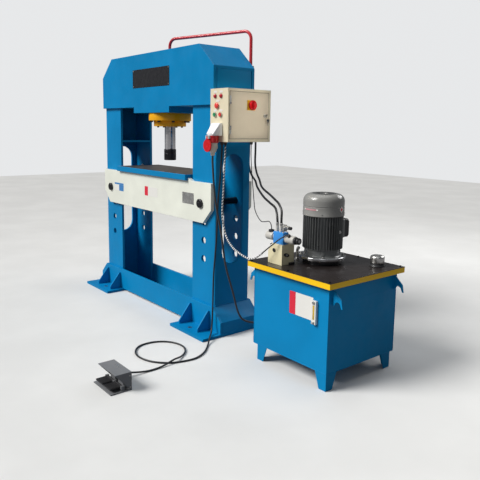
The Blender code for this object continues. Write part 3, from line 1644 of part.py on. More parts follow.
def socket_lid():
    """Round spring lid, held open by the plug, hanging from the collar's ears."""
    hinge_y = SOCKET_AXIS_Y - COLLAR_RADIUS - LID_BARREL_RADIUS - DOOR_CLEARANCE
    face = hinge_y - LID_BARREL_RADIUS
    centre_z = LID_HINGE_Z - LID_RADIUS - LID_BARREL_RADIUS * 1.3
    made = rod(
        "socket_lid",
        SIGNAL_RED,
        (SOCKET_X, face + LID_THICKNESS, centre_z),
        (SOCKET_X, face, centre_z),
        LID_RADIUS,
        20,
    )
    neck = box(
        "lid_neck",
        SIGNAL_RED,
        (SOCKET_X - LID_BARREL_LENGTH / 2, SOCKET_X + LID_BARREL_LENGTH / 2),
        (face, hinge_y - LID_BARREL_RADIUS / 4),
        (centre_z + LID_RADIUS * 0.8, LID_HINGE_Z),
    )
    barrel = rod(
        "lid_barrel",
        SIGNAL_RED,
        (SOCKET_X - LID_BARREL_LENGTH / 2, hinge_y, LID_HINGE_Z),
        (SOCKET_X + LID_BARREL_LENGTH / 2, hinge_y, LID_HINGE_Z),
        LID_BARREL_RADIUS,
        16,
    )
    bore = rod(
        "lid_bore",
        SIGNAL_RED,
        (SOCKET_X - LID_BARREL_LENGTH, hinge_y, LID_HINGE_Z),
        (SOCKET_X + LID_BARREL_LENGTH, hinge_y, LID_HINGE_Z),
        LID_PIN_RADIUS + SLIDE_CLEARANCE,
        12,
    )
    join(made, neck, barrel)
    cut(made, bore)
    return set_origin(made, (SOCKET_X, hinge_y, LID_HINGE_Z))


def power_plug():
    """Plug pushed up into the collar, tapering down to the cable's neck."""
    top = COLLAR_BOTTOM + COLLAR_LENGTH - COLLAR_WALL - GAP
    inside = COLLAR_RADIUS - COLLAR_WALL - SLIDE_CLEARANCE
    foot_z = COLLAR_BOTTOM - PLUG_LENGTH + PLUG_TAIL
    profile = [
        (0, top),
        (inside, top),
        (inside, COLLAR_BOTTOM - GAP),
        (PLUG_RADIUS, COLLAR_BOTTOM - 0.004),
        (PLUG_RADIUS * 0.97, COLLAR_BOTTOM - PLUG_LENGTH * 0.3),
        (PLUG_RADIUS * 0.78, COLLAR_BOTTOM - PLUG_LENGTH * 0.62),
        (PLUG_NECK_RADIUS, foot_z),
        (PLUG_NECK_RADIUS * 0.9, foot_z - PLUG_TAIL),
        (0, foot_z - PLUG_TAIL),
    ]
    return turned(
        "power_plug", PLASTIC_WHITE, profile, (SOCKET_X, SOCKET_AXIS_Y, 0), steps=24
    )


def leg_window(name, across, ends, low, high):
    """Trapezoid that leaves two tapered legs at the ends of one side of the tank."""
    outline = [
        (low + LEG_FOOT_WIDTH, -OVERLAP),
        (high - LEG_FOOT_WIDTH, -OVERLAP),
        (high - LEG_TOP_WIDTH, TANK_FLOOR),
        (low + LEG_TOP_WIDTH, TANK_FLOOR),
    ]
    return plate(name, PRESS_BLUE, across, ends, outline)


def hook_outline(side):
    """Triangular hook on the tank's end, with a round notch in its underside."""
    wall = TANK_RIGHT if side > 0 else TANK_LEFT
    root = wall - side * TANK_WALL / 2
    low = HOOK_TOP - HOOK_HEIGHT
    reach = wall + side * HOOK_REACH
    notch = arc((0, 0), HOOK_NOTCH_RADIUS, 10, 170, 7)
    centre = (HOOK_REACH * 0.52, low)
    bay = [(wall + side * (centre[0] + x), centre[1] + y) for x, y in notch]
    return [
        (root, HOOK_TOP),
        (wall + side * HOOK_REACH * 0.25, HOOK_TOP),
        (wall + side * HOOK_REACH * 0.88, low + HOOK_HEIGHT * 0.45),
        (reach, low - 0.012),
        (reach - side * 0.008, low - 0.012),
        *bay,
        (wall + side * HOOK_REACH * 0.16, low - 0.004),
        (root, low),
    ]


def tank_body():
    """Welded tank with a flat rim, four legs cut from its walls and a hook at each corner."""
    made = box(
        "tank_body",
        PRESS_BLUE,
        (TANK_LEFT, TANK_RIGHT),
        (TANK_FRONT, TANK_REAR),
        (TANK_FLOOR, TANK_TOP),
    )
    leg_left = TANK_LEFT + LEG_LEFT_INSET
    leg_rear = TANK_REAR - LEG_REAR_INSET
    legs = box(
        "tank_legs",
        PRESS_BLUE,
        (leg_left, TANK_RIGHT),
        (TANK_FRONT, leg_rear),
        (0, TANK_FLOOR + TANK_WALL / 2),
    )
    rim = box(
        "tank_rim",
        PRESS_BLUE,
        (TANK_LEFT - TANK_RIM_WIDTH, TANK_RIGHT + TANK_RIM_WIDTH),
        (TANK_FRONT - TANK_RIM_WIDTH, TANK_REAR + TANK_RIM_WIDTH),
        (TANK_TOP - TANK_RIM, TANK_TOP),
    )
    inside = {
        "xs": (TANK_LEFT + TANK_WALL, TANK_RIGHT - TANK_WALL),
        "ys": (TANK_FRONT + TANK_WALL, TANK_REAR - TANK_WALL),
    }
    cavity = box(
        "tank_cavity", PRESS_BLUE, zs=(TANK_FLOOR + TANK_WALL, TANK_TOP + OVERLAP), **inside
    )
    below = box(
        "tank_below",
        PRESS_BLUE,
        (leg_left + TANK_WALL, TANK_RIGHT - TANK_WALL),
        (TANK_FRONT + TANK_WALL, leg_rear - TANK_WALL),
        (-OVERLAP, TANK_FLOOR),
    )
    hooks = []
    for side, name in ((-1, "left"), (1, "right")):
        for end, y in (("front", TANK_FRONT + HOOK_INSET), ("rear", TANK_REAR - HOOK_INSET)):
            hooks.append(
                plate(
                    f"tank_{name}_{end}_hook",
                    PRESS_BLUE,
                    "y",
                    (y - HOOK_THICKNESS / 2, y + HOOK_THICKNESS / 2),
                    hook_outline(side),
                )
            )
    join(made, legs, rim, *hooks)
    across_x = (TANK_LEFT - OVERLAP, TANK_RIGHT + OVERLAP)
    across_y = (TANK_FRONT - OVERLAP, TANK_REAR + OVERLAP)
    cut(
        made,
        cavity,
        below,
        leg_window("tank_window_front", "y", across_y, leg_left, TANK_RIGHT),
        leg_window("tank_window_side", "x", across_x, TANK_FRONT, leg_rear),
    )
    return made


def tank_lid():
    """Lid with a turned-down skirt, and holes for the motor, the filler and the manifold."""
    xs = (TANK_LEFT - LID_OVERHANG, TANK_RIGHT + LID_OVERHANG)
    ys = (TANK_FRONT - LID_OVERHANG, TANK_REAR + LID_OVERHANG)
    foot_z = TANK_LID_TOP - LID_SKIRT
    made = box("tank_lid", LID_BLACK, xs, ys, (foot_z, TANK_LID_TOP))
    wall = LID_SKIRT_WALL
    under = box(
        "lid_under",
        LID_BLACK,
        (xs[0] + wall, xs[1] - wall),
        (ys[0] + wall, ys[1] - wall),
        (foot_z - OVERLAP, TANK_TOP + GAP),
    )
    cut(made, under)
    manifold_x = MANIFOLD_X + MANIFOLD_WIDTH / 2
    manifold_y = MANIFOLD_FRONT + MANIFOLD_DEPTH / 2
    holes = (
        ("motor", *MOTOR_PLACE, ADAPTER_SPIGOT_RADIUS, 24),
        ("filler", *FILLER_PLACE, FILLER_NECK_RADIUS, 20),
        ("manifold", manifold_x, manifold_y, MANIFOLD_PORT_RADIUS, 12),
    )
    for name, x, y, radius, steps in holes:
        hole = rod(
            "lid_hole_" + name,
            LID_BLACK,
            (x, y, TANK_TOP - OVERLAP),
            (x, y, TANK_LID_TOP + OVERLAP),
            radius + PIN_CLEARANCE,
            steps,
        )
        cut(made, hole)
    return made


def level_gauge():
    """Upright gauge frame on the tank's front, with a recess for its glass."""
    back = TANK_FRONT - GAP
    zs = (GAUGE_BOTTOM, GAUGE_BOTTOM + GAUGE_HEIGHT)
    middle = sum(zs) / 2
    made = box(
        "level_gauge",
        PLASTIC_WHITE,
        (GAUGE_X - GAUGE_WIDTH / 2, GAUGE_X + GAUGE_WIDTH / 2),
        (back - GAUGE_DEPTH, back),
        zs,
    )
    window = box(
        "gauge_window",
        PLASTIC_WHITE,
        (GAUGE_X - GAUGE_WINDOW_WIDTH / 2, GAUGE_X + GAUGE_WINDOW_WIDTH / 2),
        (back - GAUGE_DEPTH - OVERLAP, back - GAUGE_DEPTH + GAUGE_WINDOW_DEPTH),
        (middle - GAUGE_WINDOW_HEIGHT / 2, middle + GAUGE_WINDOW_HEIGHT / 2),
    )
    return cut(made, window)


def filler_cap():
    top = ON_TANK + FILLER_HEIGHT
    profile = [
        (0, top),
        (FILLER_RADIUS - 0.008, top),
        (FILLER_RADIUS, top - 0.006),
        (FILLER_RADIUS, ON_TANK + FILLER_HEIGHT * 0.35),
        (FILLER_RADIUS * 0.8, ON_TANK + FILLER_HEIGHT * 0.3),
        (FILLER_RADIUS * 0.8, ON_TANK),
        (FILLER_NECK_RADIUS, ON_TANK),
        (FILLER_NECK_RADIUS, ON_TANK - FILLER_NECK),
        (0, ON_TANK - FILLER_NECK),
    ]
    return turned("filler_cap", BRIGHT_STEEL, profile, (*FILLER_PLACE, 0), steps=20)


def motor_frame():
    """Flange, bell and finned body of the motor, bored for the shaft, with its terminal box."""
    x, y = MOTOR_PLACE
    bell_top = MOTOR_FLANGE_TOP + BELL_HEIGHT
    bore = SHAFT_RADIUS + SLIDE_CLEARANCE
    space_top = ADAPTER_FOOT + 2 * COUPLING_LENGTH
    profile = [
        (bore, MOTOR_BODY_TOP),
        (MOTOR_CORE_RADIUS, MOTOR_BODY_TOP),
        (MOTOR_CORE_RADIUS, bell_top),
        (BELL_RADIUS, bell_top - 0.01),
        (BELL_RADIUS, MOTOR_FLANGE_TOP + 0.012),
        (BELL_RADIUS + 0.012, MOTOR_FLANGE_TOP),
        (MOTOR_FLANGE_RADIUS, MOTOR_FLANGE_TOP),
        (MOTOR_FLANGE_RADIUS, MOTOR_FLANGE_TOP - MOTOR_FLANGE),
        (ADAPTER_RADIUS, MOTOR_FLANGE_TOP - MOTOR_FLANGE),
        (ADAPTER_RADIUS, ON_TANK),
        (ADAPTER_SPIGOT_RADIUS, ON_TANK),
        (ADAPTER_SPIGOT_RADIUS, ADAPTER_FOOT),
        (COUPLING_SPACE, ADAPTER_FOOT),
        (COUPLING_SPACE, space_top),
        (bore, space_top),
    ]
    made = turned("motor_frame", MOTOR_GREY, profile, (x, y, 0), steps=24)
    fins = []
    middle = (MOTOR_CORE_RADIUS + MOTOR_FIN_RADIUS) / 2 - OVERLAP
    depth = MOTOR_FIN_RADIUS - MOTOR_CORE_RADIUS + 2 * OVERLAP
    for i in range(MOTOR_FINS):
        angle = math.tau * (i + 0.5) / MOTOR_FINS
        fin = box(
            f"motor_fin_{i}",
            MOTOR_GREY,
            (-depth / 2, depth / 2),
            (-FIN_THICKNESS / 2, FIN_THICKNESS / 2),
            (bell_top + 0.004, MOTOR_BODY_TOP - 0.002),
        )
        fin.location.x = x + middle * math.cos(angle)
        fin.location.y = y + middle * math.sin(angle)
        fin.rotation_euler.z = angle
        fins.append(fin)
    bpy.context.view_layer.update()
    join(made, one_mesh("motor_fins", MOTOR_GREY, fins))
    half = TERMINAL_WIDTH / 2
    top = MOTOR_BODY_TOP - TERMINAL_DROP
    zs = (top - TERMINAL_HEIGHT, top)
    corners = [(x - half, zs[0]), (x + half, zs[0]), (x + half, zs[1]), (x - half, zs[1])]
    terminal = plate(
        "motor_terminal",
        MOTOR_GREY,
        "y",
        (y + MOTOR_CORE_RADIUS - 0.01, y + TERMINAL_REACH),
        rounded(corners, TERMINAL_ROUND, 3),
    )
    gland_x, gland_y, gland_z = motor_gland_end()
    gland = rod(
        "motor_gland",
        MOTOR_GREY,
        (x - half + OVERLAP, gland_y, gland_z),
        (gland_x, gland_y, gland_z),
        TERMINAL_GLAND_RADIUS,
        12,
    )
    return join(made, terminal, gland)


def motor_gland_end():
    x = MOTOR_PLACE[0] - TERMINAL_WIDTH / 2 - TERMINAL_GLAND_LENGTH
    z = MOTOR_BODY_TOP - TERMINAL_DROP - TERMINAL_HEIGHT / 2
    return (x, MOTOR_PLACE[1] + TERMINAL_GLAND_BACK, z)


def fan_cover():
    """Pressed cover over the fan, with a ring of slots in its crown."""
    foot_z = MOTOR_BODY_TOP + GAP
    side_top = foot_z + FAN_COVER_SIDE
    top = side_top + FAN_COVER_DOME
    wall = FAN_COVER_WALL
    outer = FAN_COVER_RADIUS
    crown = FAN_COVER_CROWN_RADIUS
    dome = [
        (
            crown + (outer - crown) * math.sin(math.radians(a)),
            side_top + FAN_COVER_DOME * math.cos(math.radians(a)),
        )
        for a in (0, 18, 36, 54, 72, 90)
    ]
    inner_dome = [
        (
            crown + (outer - wall - crown) * math.sin(math.radians(a)),
            side_top + (FAN_COVER_DOME - wall) * math.cos(math.radians(a)),
        )
        for a in (90, 72, 54, 36, 18, 0)
    ]
    profile = [(0, top), *dome, (outer, foot_z), (outer - wall, foot_z), *inner_dome]
    profile.append((0, top - wall))
    made = turned("fan_cover", MOTOR_GREY, profile, (*MOTOR_PLACE, 0), steps=24)
    slots = []
    for i in range(FAN_SLOTS):
        angle = math.tau * i / FAN_SLOTS
        slot = box(
            f"fan_slot_{i}",
            MOTOR_GREY,
            (-FAN_SLOT_LENGTH / 2, FAN_SLOT_LENGTH / 2),
            (-FAN_SLOT_WIDTH / 2, FAN_SLOT_WIDTH / 2),
            (top - FAN_COVER_DOME / 4, top + OVERLAP),
        )
        reach = crown - FAN_SLOT_LENGTH / 2 - FAN_SLOT_WIDTH / 2
        slot.location.x = MOTOR_PLACE[0] + reach * math.cos(angle)
        slot.location.y = MOTOR_PLACE[1] + reach * math.sin(angle)
        slot.rotation_euler.z = angle
        slots.append(slot)
    bpy.context.view_layer.update()
    return cut(made, one_mesh("fan_slots", MOTOR_GREY, slots))


def motor_rotor():
    """Shaft through the motor, with the fan above and half of the coupling below."""
    x, y = MOTOR_PLACE
    coupling_foot = ADAPTER_FOOT + COUPLING_LENGTH
    coupling_top = coupling_foot + COUPLING_LENGTH - 0.008
    hub_foot = MOTOR_BODY_TOP + FAN_STAND
    hub_top = hub_foot + FAN_HUB
    profile = [
        (0, hub_top + 0.006),
        (SHAFT_RADIUS, hub_top + 0.006),
        (SHAFT_RADIUS, hub_top),
        (FAN_HUB_RADIUS, hub_top),
        (FAN_HUB_RADIUS, hub_foot),
        (SHAFT_RADIUS, hub_foot),
        (SHAFT_RADIUS, coupling_top),
        (COUPLING_RADIUS, coupling_top),
        (COUPLING_RADIUS, coupling_foot),
        (0, coupling_foot),
    ]
    made = turned("motor_rotor", BARE_STEEL, profile, (x, y, 0), steps=24)
    blades = []
    depth = FAN_BLADE_RADIUS - FAN_HUB_RADIUS + OVERLAP
    for i in range(FAN_BLADES):
        angle = math.tau * i / FAN_BLADES
        blade = box(
            f"fan_blade_{i}",
            BARE_STEEL,
            (-depth / 2, depth / 2),
            (-FAN_BLADE / 2, FAN_BLADE / 2),
            (hub_foot + 0.003, hub_top - 0.003),
        )
        middle = FAN_HUB_RADIUS - OVERLAP + depth / 2
        blade.location.x = x + middle * math.cos(angle)
        blade.location.y = y + middle * math.sin(angle)
        blade.rotation_euler.z = angle
        blades.append(blade)
    bpy.context.view_layer.update()
    return join(made, one_mesh("fan_blades", BARE_STEEL, blades))


def pump():
    """Gear pump under the lid, with its shaft, suction pipe and strainer, all on one axis."""
    top = ADAPTER_FOOT - GAP
    body_foot = top - PUMP_LENGTH
    strainer_foot = TANK_FLOOR + TANK_WALL + STRAINER_CLEARANCE
    strainer_top = strainer_foot + STRAINER_LENGTH
    coupling_foot = ADAPTER_FOOT + COUPLING_LENGTH
    profile = [
        (0, coupling_foot - 0.002),
        (COUPLING_RADIUS, coupling_foot - 0.002),
        (COUPLING_RADIUS, coupling_foot - 0.030),
        (PUMP_SHAFT_RADIUS, coupling_foot - 0.030),
        (PUMP_SHAFT_RADIUS, top),
        (ADAPTER_SPIGOT_RADIUS, top),
        (ADAPTER_SPIGOT_RADIUS, top - PUMP_FLANGE),
        (PUMP_RADIUS, top - PUMP_FLANGE),
        (PUMP_RADIUS, body_foot),
        (SUCTION_RADIUS, body_foot),
        (SUCTION_RADIUS, strainer_top),
        (STRAINER_RADIUS, strainer_top),
        (STRAINER_RADIUS, strainer_foot),
        (0, strainer_foot),
    ]
    return turned("pump", BARE_STEEL, profile, (*MOTOR_PLACE, 0), steps=24)


def manifold_block():
    """Block with a sloping shoulder on its left and two threaded ports."""
    xs = (MANIFOLD_X, MANIFOLD_X + MANIFOLD_WIDTH)
    ys = (MANIFOLD_FRONT, MANIFOLD_FRONT + MANIFOLD_DEPTH)
    zs = (ON_TANK, ON_TANK + MANIFOLD_HEIGHT)
    outline = [
        (xs[0], zs[0]),
        (xs[1], zs[0]),
        (xs[1], zs[1]),
        (xs[0] + MANIFOLD_SHOULDER, zs[1]),
        (xs[0], zs[0] + MANIFOLD_SHOULDER_HEIGHT),
    ]
    made = plate("manifold_block", MANIFOLD_CREAM, "y", ys, outline)
    upper = zs[0] + MANIFOLD_HEIGHT * 0.68
    front_x = xs[0] + MANIFOLD_WIDTH * 0.445
    front_port = rod(
        "manifold_front_port",
        MANIFOLD_CREAM,
        (front_x, ys[0] - OVERLAP, upper),
        (front_x, ys[0] + MANIFOLD_PORT_DEPTH, upper),
        MANIFOLD_PORT_RADIUS,
        16,
    )
    side_y = ys[0] + MANIFOLD_DEPTH * 0.37
    side_z = zs[0] + MANIFOLD_HEIGHT * 0.48
    side_port = rod(
        "manifold_side_port",
        MANIFOLD_CREAM,
        (xs[1] + OVERLAP, side_y, side_z),
        (xs[1] - MANIFOLD_PORT_DEPTH, side_y, side_z),
        MANIFOLD_PORT_RADIUS,
        16,
    )
    return cut(made, front_port, side_port)


def valve_body():
    """Directional valve with two hose fittings on top and the riser of the relief valve."""
    made = box(
        "valve_body",
        VALVE_BLUE,
        (VALVE_X, VALVE_X + VALVE_WIDTH),
        (VALVE_FRONT, VALVE_FRONT + VALVE_DEPTH),
        (VALVE_FOOT, VALVE_TOP),
    )
    hex_top = VALVE_TOP + FITTING_HEX
    for i, x in enumerate(FITTING_XS):
        nut = rod(
            f"fitting_nut_{i}",
            VALVE_BLUE,
            (x, FITTING_Y, VALVE_TOP - OVERLAP),
            (x, FITTING_Y, hex_top),
            FITTING_HEX_RADIUS,
            6,
        )
        neck = rod(
            f"fitting_neck_{i}",
            VALVE_BLUE,
            (x, FITTING_Y, hex_top - OVERLAP),
            (x, FITTING_Y, hex_top + FITTING_NECK),
            FITTING_NECK_RADIUS,
            12,
        )
        join(made, nut, neck)
    rear = VALVE_FRONT + VALVE_DEPTH
    riser = box(
        "valve_riser",
        VALVE_BLUE,
        (RISER_X, RISER_X + RISER_WIDTH),
        (rear - OVERLAP, rear + RISER_DEPTH),
        (VALVE_FOOT, VALVE_TOP + RISER_HEIGHT),
    )
    join(made, riser)
    relief_bore = rod(
        "relief_bore",
        VALVE_BLUE,
        (RISER_X + RISER_WIDTH - RELIEF_SPIGOT - GAP, rear + RISER_DEPTH / 2, relief_height()),
        (RISER_X + RISER_WIDTH + OVERLAP, rear + RISER_DEPTH / 2, relief_height()),
        RELIEF_RADIUS * 0.7 + SLIDE_CLEARANCE,
        16,
    )
    return cut(made, relief_bore)


def relief_height():
    return VALVE_TOP + RISER_HEIGHT - RISER_DEPTH / 2


def relief_valve():
    """Cartridge screwed into the riser, with its adjusting knob."""
    y = VALVE_FRONT + VALVE_DEPTH + RISER_DEPTH / 2
    profile = [
        (0, RELIEF_LENGTH + RELIEF_KNOB),
        (RELIEF_KNOB_RADIUS - 0.002, RELIEF_LENGTH + RELIEF_KNOB),
        (RELIEF_KNOB_RADIUS, RELIEF_LENGTH + RELIEF_KNOB - 0.002),
        (RELIEF_KNOB_RADIUS, RELIEF_LENGTH),
        (RELIEF_RADIUS, RELIEF_LENGTH),
        (RELIEF_RADIUS, 0),
        (RELIEF_RADIUS * 0.7, 0),
        (RELIEF_RADIUS * 0.7, -RELIEF_SPIGOT),
        (0, -RELIEF_SPIGOT),
    ]
    x = RISER_X + RISER_WIDTH + GAP
    return turned("relief_valve", BRIGHT_STEEL, profile, (x, y, relief_height()), (1, 0, 0), 16)


def solenoid(name, side, length, cap_radius, cap_length):
    """Coil with its tube nut and a cable socket, on one end of the valve."""
    x = VALVE_X + VALVE_WIDTH + GAP if side > 0 else VALVE_X - GAP
    profile = [
        (0, length + cap_length),
        (cap_radius, length + cap_length),
        (cap_radius, length),
        (SOLENOID_RADIUS, length),
        (SOLENOID_RADIUS, SOLENOID_NUT),
        (SOLENOID_NUT_RADIUS, SOLENOID_NUT),
        (SOLENOID_NUT_RADIUS, 0),
        (0, 0),
    ]
    made = turned(
        name, BRIGHT_STEEL, profile, (x, VALVE_AXIS_Y, VALVE_AXIS_Z), (side, 0, 0), steps=24
    )
    socket_x = x + side * (length * 0.55)
    edge = SOLENOID_RADIUS + SOLENOID_PLUG
    far = Vector(SOCKET_LEAN) * edge if side > 0 else (0, 0, edge)
    centre = Vector((socket_x, VALVE_AXIS_Y, VALVE_AXIS_Z))
    socket = rod(
        name + "_socket",
        BRIGHT_STEEL,
        centre + Vector(far) * 0.5,
        centre + Vector(far),
        SOLENOID_PLUG_RADIUS,
        12,
    )
    return join(made, socket)


def pedal_base():
    """Base plate with hinge lugs, the treads' hinge pin and the two switch blocks behind."""
    made = box(
        "pedal_base",
        PEDAL_GREY,
        (PEDAL_LEFT, PEDAL_RIGHT),
        (PEDAL_FRONT, PEDAL_REAR),
        (0, PEDAL_PLATE),
    )
    middle = (PEDAL_LEFT + PEDAL_RIGHT) / 2
    half = PEDAL_LUG / 2
    outward = half + 2 * GAP + TREAD_WIDTH + half
    for i, x in enumerate((middle - outward, middle, middle + outward)):
        lug = box(
            f"pedal_lug_{i}",
            PEDAL_GREY,
            (x - half, x + half),
            (PEDAL_AXIS_Y - PEDAL_LUG_DEPTH / 2, PEDAL_AXIS_Y + PEDAL_LUG_DEPTH / 2),
            (PEDAL_PLATE / 2, PEDAL_HINGE_Z + TREAD_BARREL_RADIUS),
        )
        join(made, lug)
    pin = rod(
        "pedal_pin",
        PEDAL_GREY,
        (middle - outward, PEDAL_AXIS_Y, PEDAL_HINGE_Z),
        (middle + outward, PEDAL_AXIS_Y, PEDAL_HINGE_Z),
        PEDAL_PIN_RADIUS,
        12,
    )
    join(made, pin)
    for i, x in enumerate((middle - outward / 2, middle + outward / 2)):
        block = box(
            f"pedal_switch_{i}",
            PEDAL_GREY,
            (x - TREAD_WIDTH * 0.36, x + TREAD_WIDTH * 0.36),
            (PEDAL_REAR - SWITCH_BLOCK_DEPTH, PEDAL_REAR - HOOD_SHEET - GAP),
            (PEDAL_PLATE / 2, PEDAL_PLATE + SWITCH_BLOCK_HEIGHT),
        )
        join(made, block)
    return made


def pedal_hood():
    """Bent sheet over the treads: roof, rear wall and triangular cheeks, with a cable gland."""
    low = PEDAL_PLATE + GAP
    inside = (PEDAL_LEFT + HOOD_SHEET, PEDAL_RIGHT - HOOD_SHEET)
    roof_front = PEDAL_FRONT + HOOD_FRONT
    cheek = [
        (PEDAL_REAR, low),
        (PEDAL_REAR, HOOD_HEIGHT),
        (roof_front, HOOD_HEIGHT),
        (roof_front, HOOD_HEIGHT - HOOD_SHEET),
        (PEDAL_REAR - 0.012, low),
    ]
    made = plate("pedal_hood", PEDAL_GREY, "x", (PEDAL_LEFT, PEDAL_RIGHT), cheek)
    hollow_outline = [
        (PEDAL_REAR - HOOD_SHEET, low - OVERLAP),
        (PEDAL_REAR - HOOD_SHEET, HOOD_HEIGHT - HOOD_SHEET),
        (PEDAL_FRONT - OVERLAP, HOOD_HEIGHT - HOOD_SHEET),
        (PEDAL_FRONT - OVERLAP, low - OVERLAP),
    ]
    hollow = plate("hood_hollow", PEDAL_GREY, "x", inside, hollow_outline)
    cut(made, hollow)
    x, y, z = pedal_gland_start()
    gland = rod(
        "pedal_gland",
        PEDAL_GREY,
        (x, y, z),
        (x, y + PEDAL_GLAND_LENGTH, z),
        PEDAL_GLAND_RADIUS,
        12,
    )
    return join(made, gland)


def pedal_gland_start():
    return (PEDAL_LEFT + 0.055, PEDAL_REAR - HOOD_SHEET / 2, 0.03)


def tread(name, side):
    """Foot plate with a raised rim on a bored barrel."""
    middle = (PEDAL_LEFT + PEDAL_RIGHT) / 2
    inner = middle + side * (PEDAL_LUG / 2 + GAP)
    xs = sorted((inner, inner + side * TREAD_WIDTH))
    top = PEDAL_HINGE_Z + TREAD_THICKNESS / 2
    ys = (PEDAL_AXIS_Y - TREAD_LENGTH, PEDAL_AXIS_Y)
    made = box(name, PEDAL_GREY, xs, ys, (top - TREAD_THICKNESS, top))
    hollow = box(
        name + "_hollow",
        PEDAL_GREY,
        (xs[0] + TREAD_RIM, xs[1] - TREAD_RIM),
        (ys[0] + TREAD_RIM, PEDAL_AXIS_Y - 2 * TREAD_BARREL_RADIUS),
        (top - 0.002, top + OVERLAP),
    )
    barrel = rod(
        name + "_barrel",
        PEDAL_GREY,
        (xs[0], PEDAL_AXIS_Y, PEDAL_HINGE_Z),
        (xs[1], PEDAL_AXIS_Y, PEDAL_HINGE_Z),
        TREAD_BARREL_RADIUS,
        16,
    )
    bore = rod(
        name + "_bore",
        PEDAL_GREY,
        (xs[0] - OVERLAP, PEDAL_AXIS_Y, PEDAL_HINGE_Z),
        (xs[1] + OVERLAP, PEDAL_AXIS_Y, PEDAL_HINGE_Z),
        PEDAL_PIN_RADIUS + SLIDE_CLEARANCE,
        12,
    )
    cut(made, hollow)
    join(made, barrel)
    cut(made, bore)
    return set_origin(made, (sum(xs) / 2, PEDAL_AXIS_Y, PEDAL_HINGE_Z))


def smooth_route(route, count):
    """Evenly spaced points along a smooth curve through the route, with a straight stub per end."""
    route = [Vector(point) for point in route]
    first, last = route[0].copy(), route[-1].copy()
    route[0] = first + (route[1] - first).normalized() * CORD_STUB
    route[-1] = last + (route[-2] - last).normalized() * CORD_STUB
    places = [0.0]
    for before, after in zip(route, route[1:]):
        places.append(places[-1] + (after - before).length)
    tangents = []
    for i in range(len(route)):
        low, high = max(i - 1, 0), min(i + 1, len(route) - 1)
        tangents.append((route[high] - route[low]) / (places[high] - places[low]))
    fine = []
    for i in range(len(route) - 1):
        span = places[i + 1] - places[i]
        for step in range(20):
            t = step / 20
            fine.append(
                route[i] * (2 * t**3 - 3 * t**2 + 1)
                + tangents[i] * span * (t**3 - 2 * t**2 + t)
                + route[i + 1] * (3 * t**2 - 2 * t**3)
                + tangents[i + 1] * span * (t**3 - t**2)
            )
    fine.append(route[-1])
    lengths = [0.0]
    for before, after in zip(fine, fine[1:]):
        lengths.append(lengths[-1] + (after - before).length)
    points = []
    index = 0
    for i in range(count):
        wanted = lengths[-1] * i / (count - 1)
        while index < len(lengths) - 2 and lengths[index + 1] < wanted:
            index += 1
        share = (wanted - lengths[index]) / (lengths[index + 1] - lengths[index])
        points.append(fine[index].lerp(fine[index + 1], share))
    return [first] + points + [last]


def box_gland_end(place):
    return (BOX_BACK + place[0], place[1], BOX_BOTTOM - BOX_GLAND_LENGTH - GAP)


def plug_cable():
    """From the plug down, clear of the floor, round the tank's rear corner, up to the motor."""
    start = (SOCKET_X, SOCKET_AXIS_Y, COLLAR_BOTTOM - PLUG_LENGTH - GAP)
    gland_x, gland_y, height = motor_gland_end()
    route = [
        start,
        (start[0], start[1], start[2] - 0.05),
        (0.952, -0.074, 1.036),
        (0.960, -0.053, 0.900),
        (0.971, -0.033, 0.783),
        (0.989, 0.001, 0.532),
        (1.013, 0.049, 0.339),
        (1.031, 0.085, 0.190),
        (1.048, 0.119, 0.130),
        (1.085, 0.193, 0.103),
        (1.180, 0.370, 0.090),
        (1.275, 0.520, 0.110),
        (1.355, 0.597, 0.190),
        (1.420, 0.629, 0.370),
        (1.440, 0.637, 0.560),
        (1.440, 0.630, 0.660),
        (1.440, 0.600, 0.745),
        (1.432, 0.559, 0.817),
        (1.457, 0.486, 0.856),
        (1.497, 0.452, 0.867),
        (gland_x - GAP - 0.028, gland_y, height),
        (gland_x - GAP, gland_y, height),
    ]
    tube("plug_cable", CABLE_BLACK, smooth_route(route, 66), PLUG_CABLE_DIAMETER / 2)


def pedal_cable():
    """Down from the box, over the right sole and along the floor in one loop to the foot switch."""
    floor = PEDAL_CABLE_DIAMETER / 2 + GAP
    hump = floor + PEDAL_CABLE_DIAMETER * 1.25
    end = Vector(pedal_gland_start()) + Vector((0, PEDAL_GLAND_LENGTH + GAP, 0))
    route = [
        box_gland_end(PEDAL_GLAND_PLACE),
        (0.970, -0.031, 1.340),
        (0.959, -0.037, 1.132),
        (0.944, -0.040, 0.997),
        (0.929, -0.040, 0.725),
        (0.915, -0.041, 0.589),
        (0.902, -0.042, 0.458),
        (0.897, -0.044, 0.222),
        (0.900, -0.050, 0.110),
        (0.914, -0.066, 0.052),
        (0.940, -0.091, 0.032),
        (0.970, -0.121, 0.030),
        (0.998, -0.149, 0.019),
        (1.035, -0.184, floor),
        (1.125, -0.279, floor),
        (1.175, -0.377, floor),
        (1.172, -0.469, floor),
        (1.133, -0.571, floor),
        (1.047, -0.646, floor),
        (0.936, -0.672, floor),
        (0.845, -0.648, floor),
        (0.772, -0.578, floor),
        (0.760, -0.479, floor),
        (0.799, -0.397, floor),
        (0.872, -0.348, floor),
        (0.960, -0.340, floor),
        (1.040, -0.378, floor),
        (1.098, -0.445, floor * 1.4),
        (1.141, -0.535, hump),
        (1.160, -0.625, floor * 1.4),
        (1.166, -0.720, floor),
        (1.160, -0.790, 0.012),
        (end[0], end[1] + 0.035, end[2]),
        tuple(end),
    ]
    tube("pedal_cable", CABLE_BLACK, smooth_route(route, 76), PEDAL_CABLE_DIAMETER / 2)


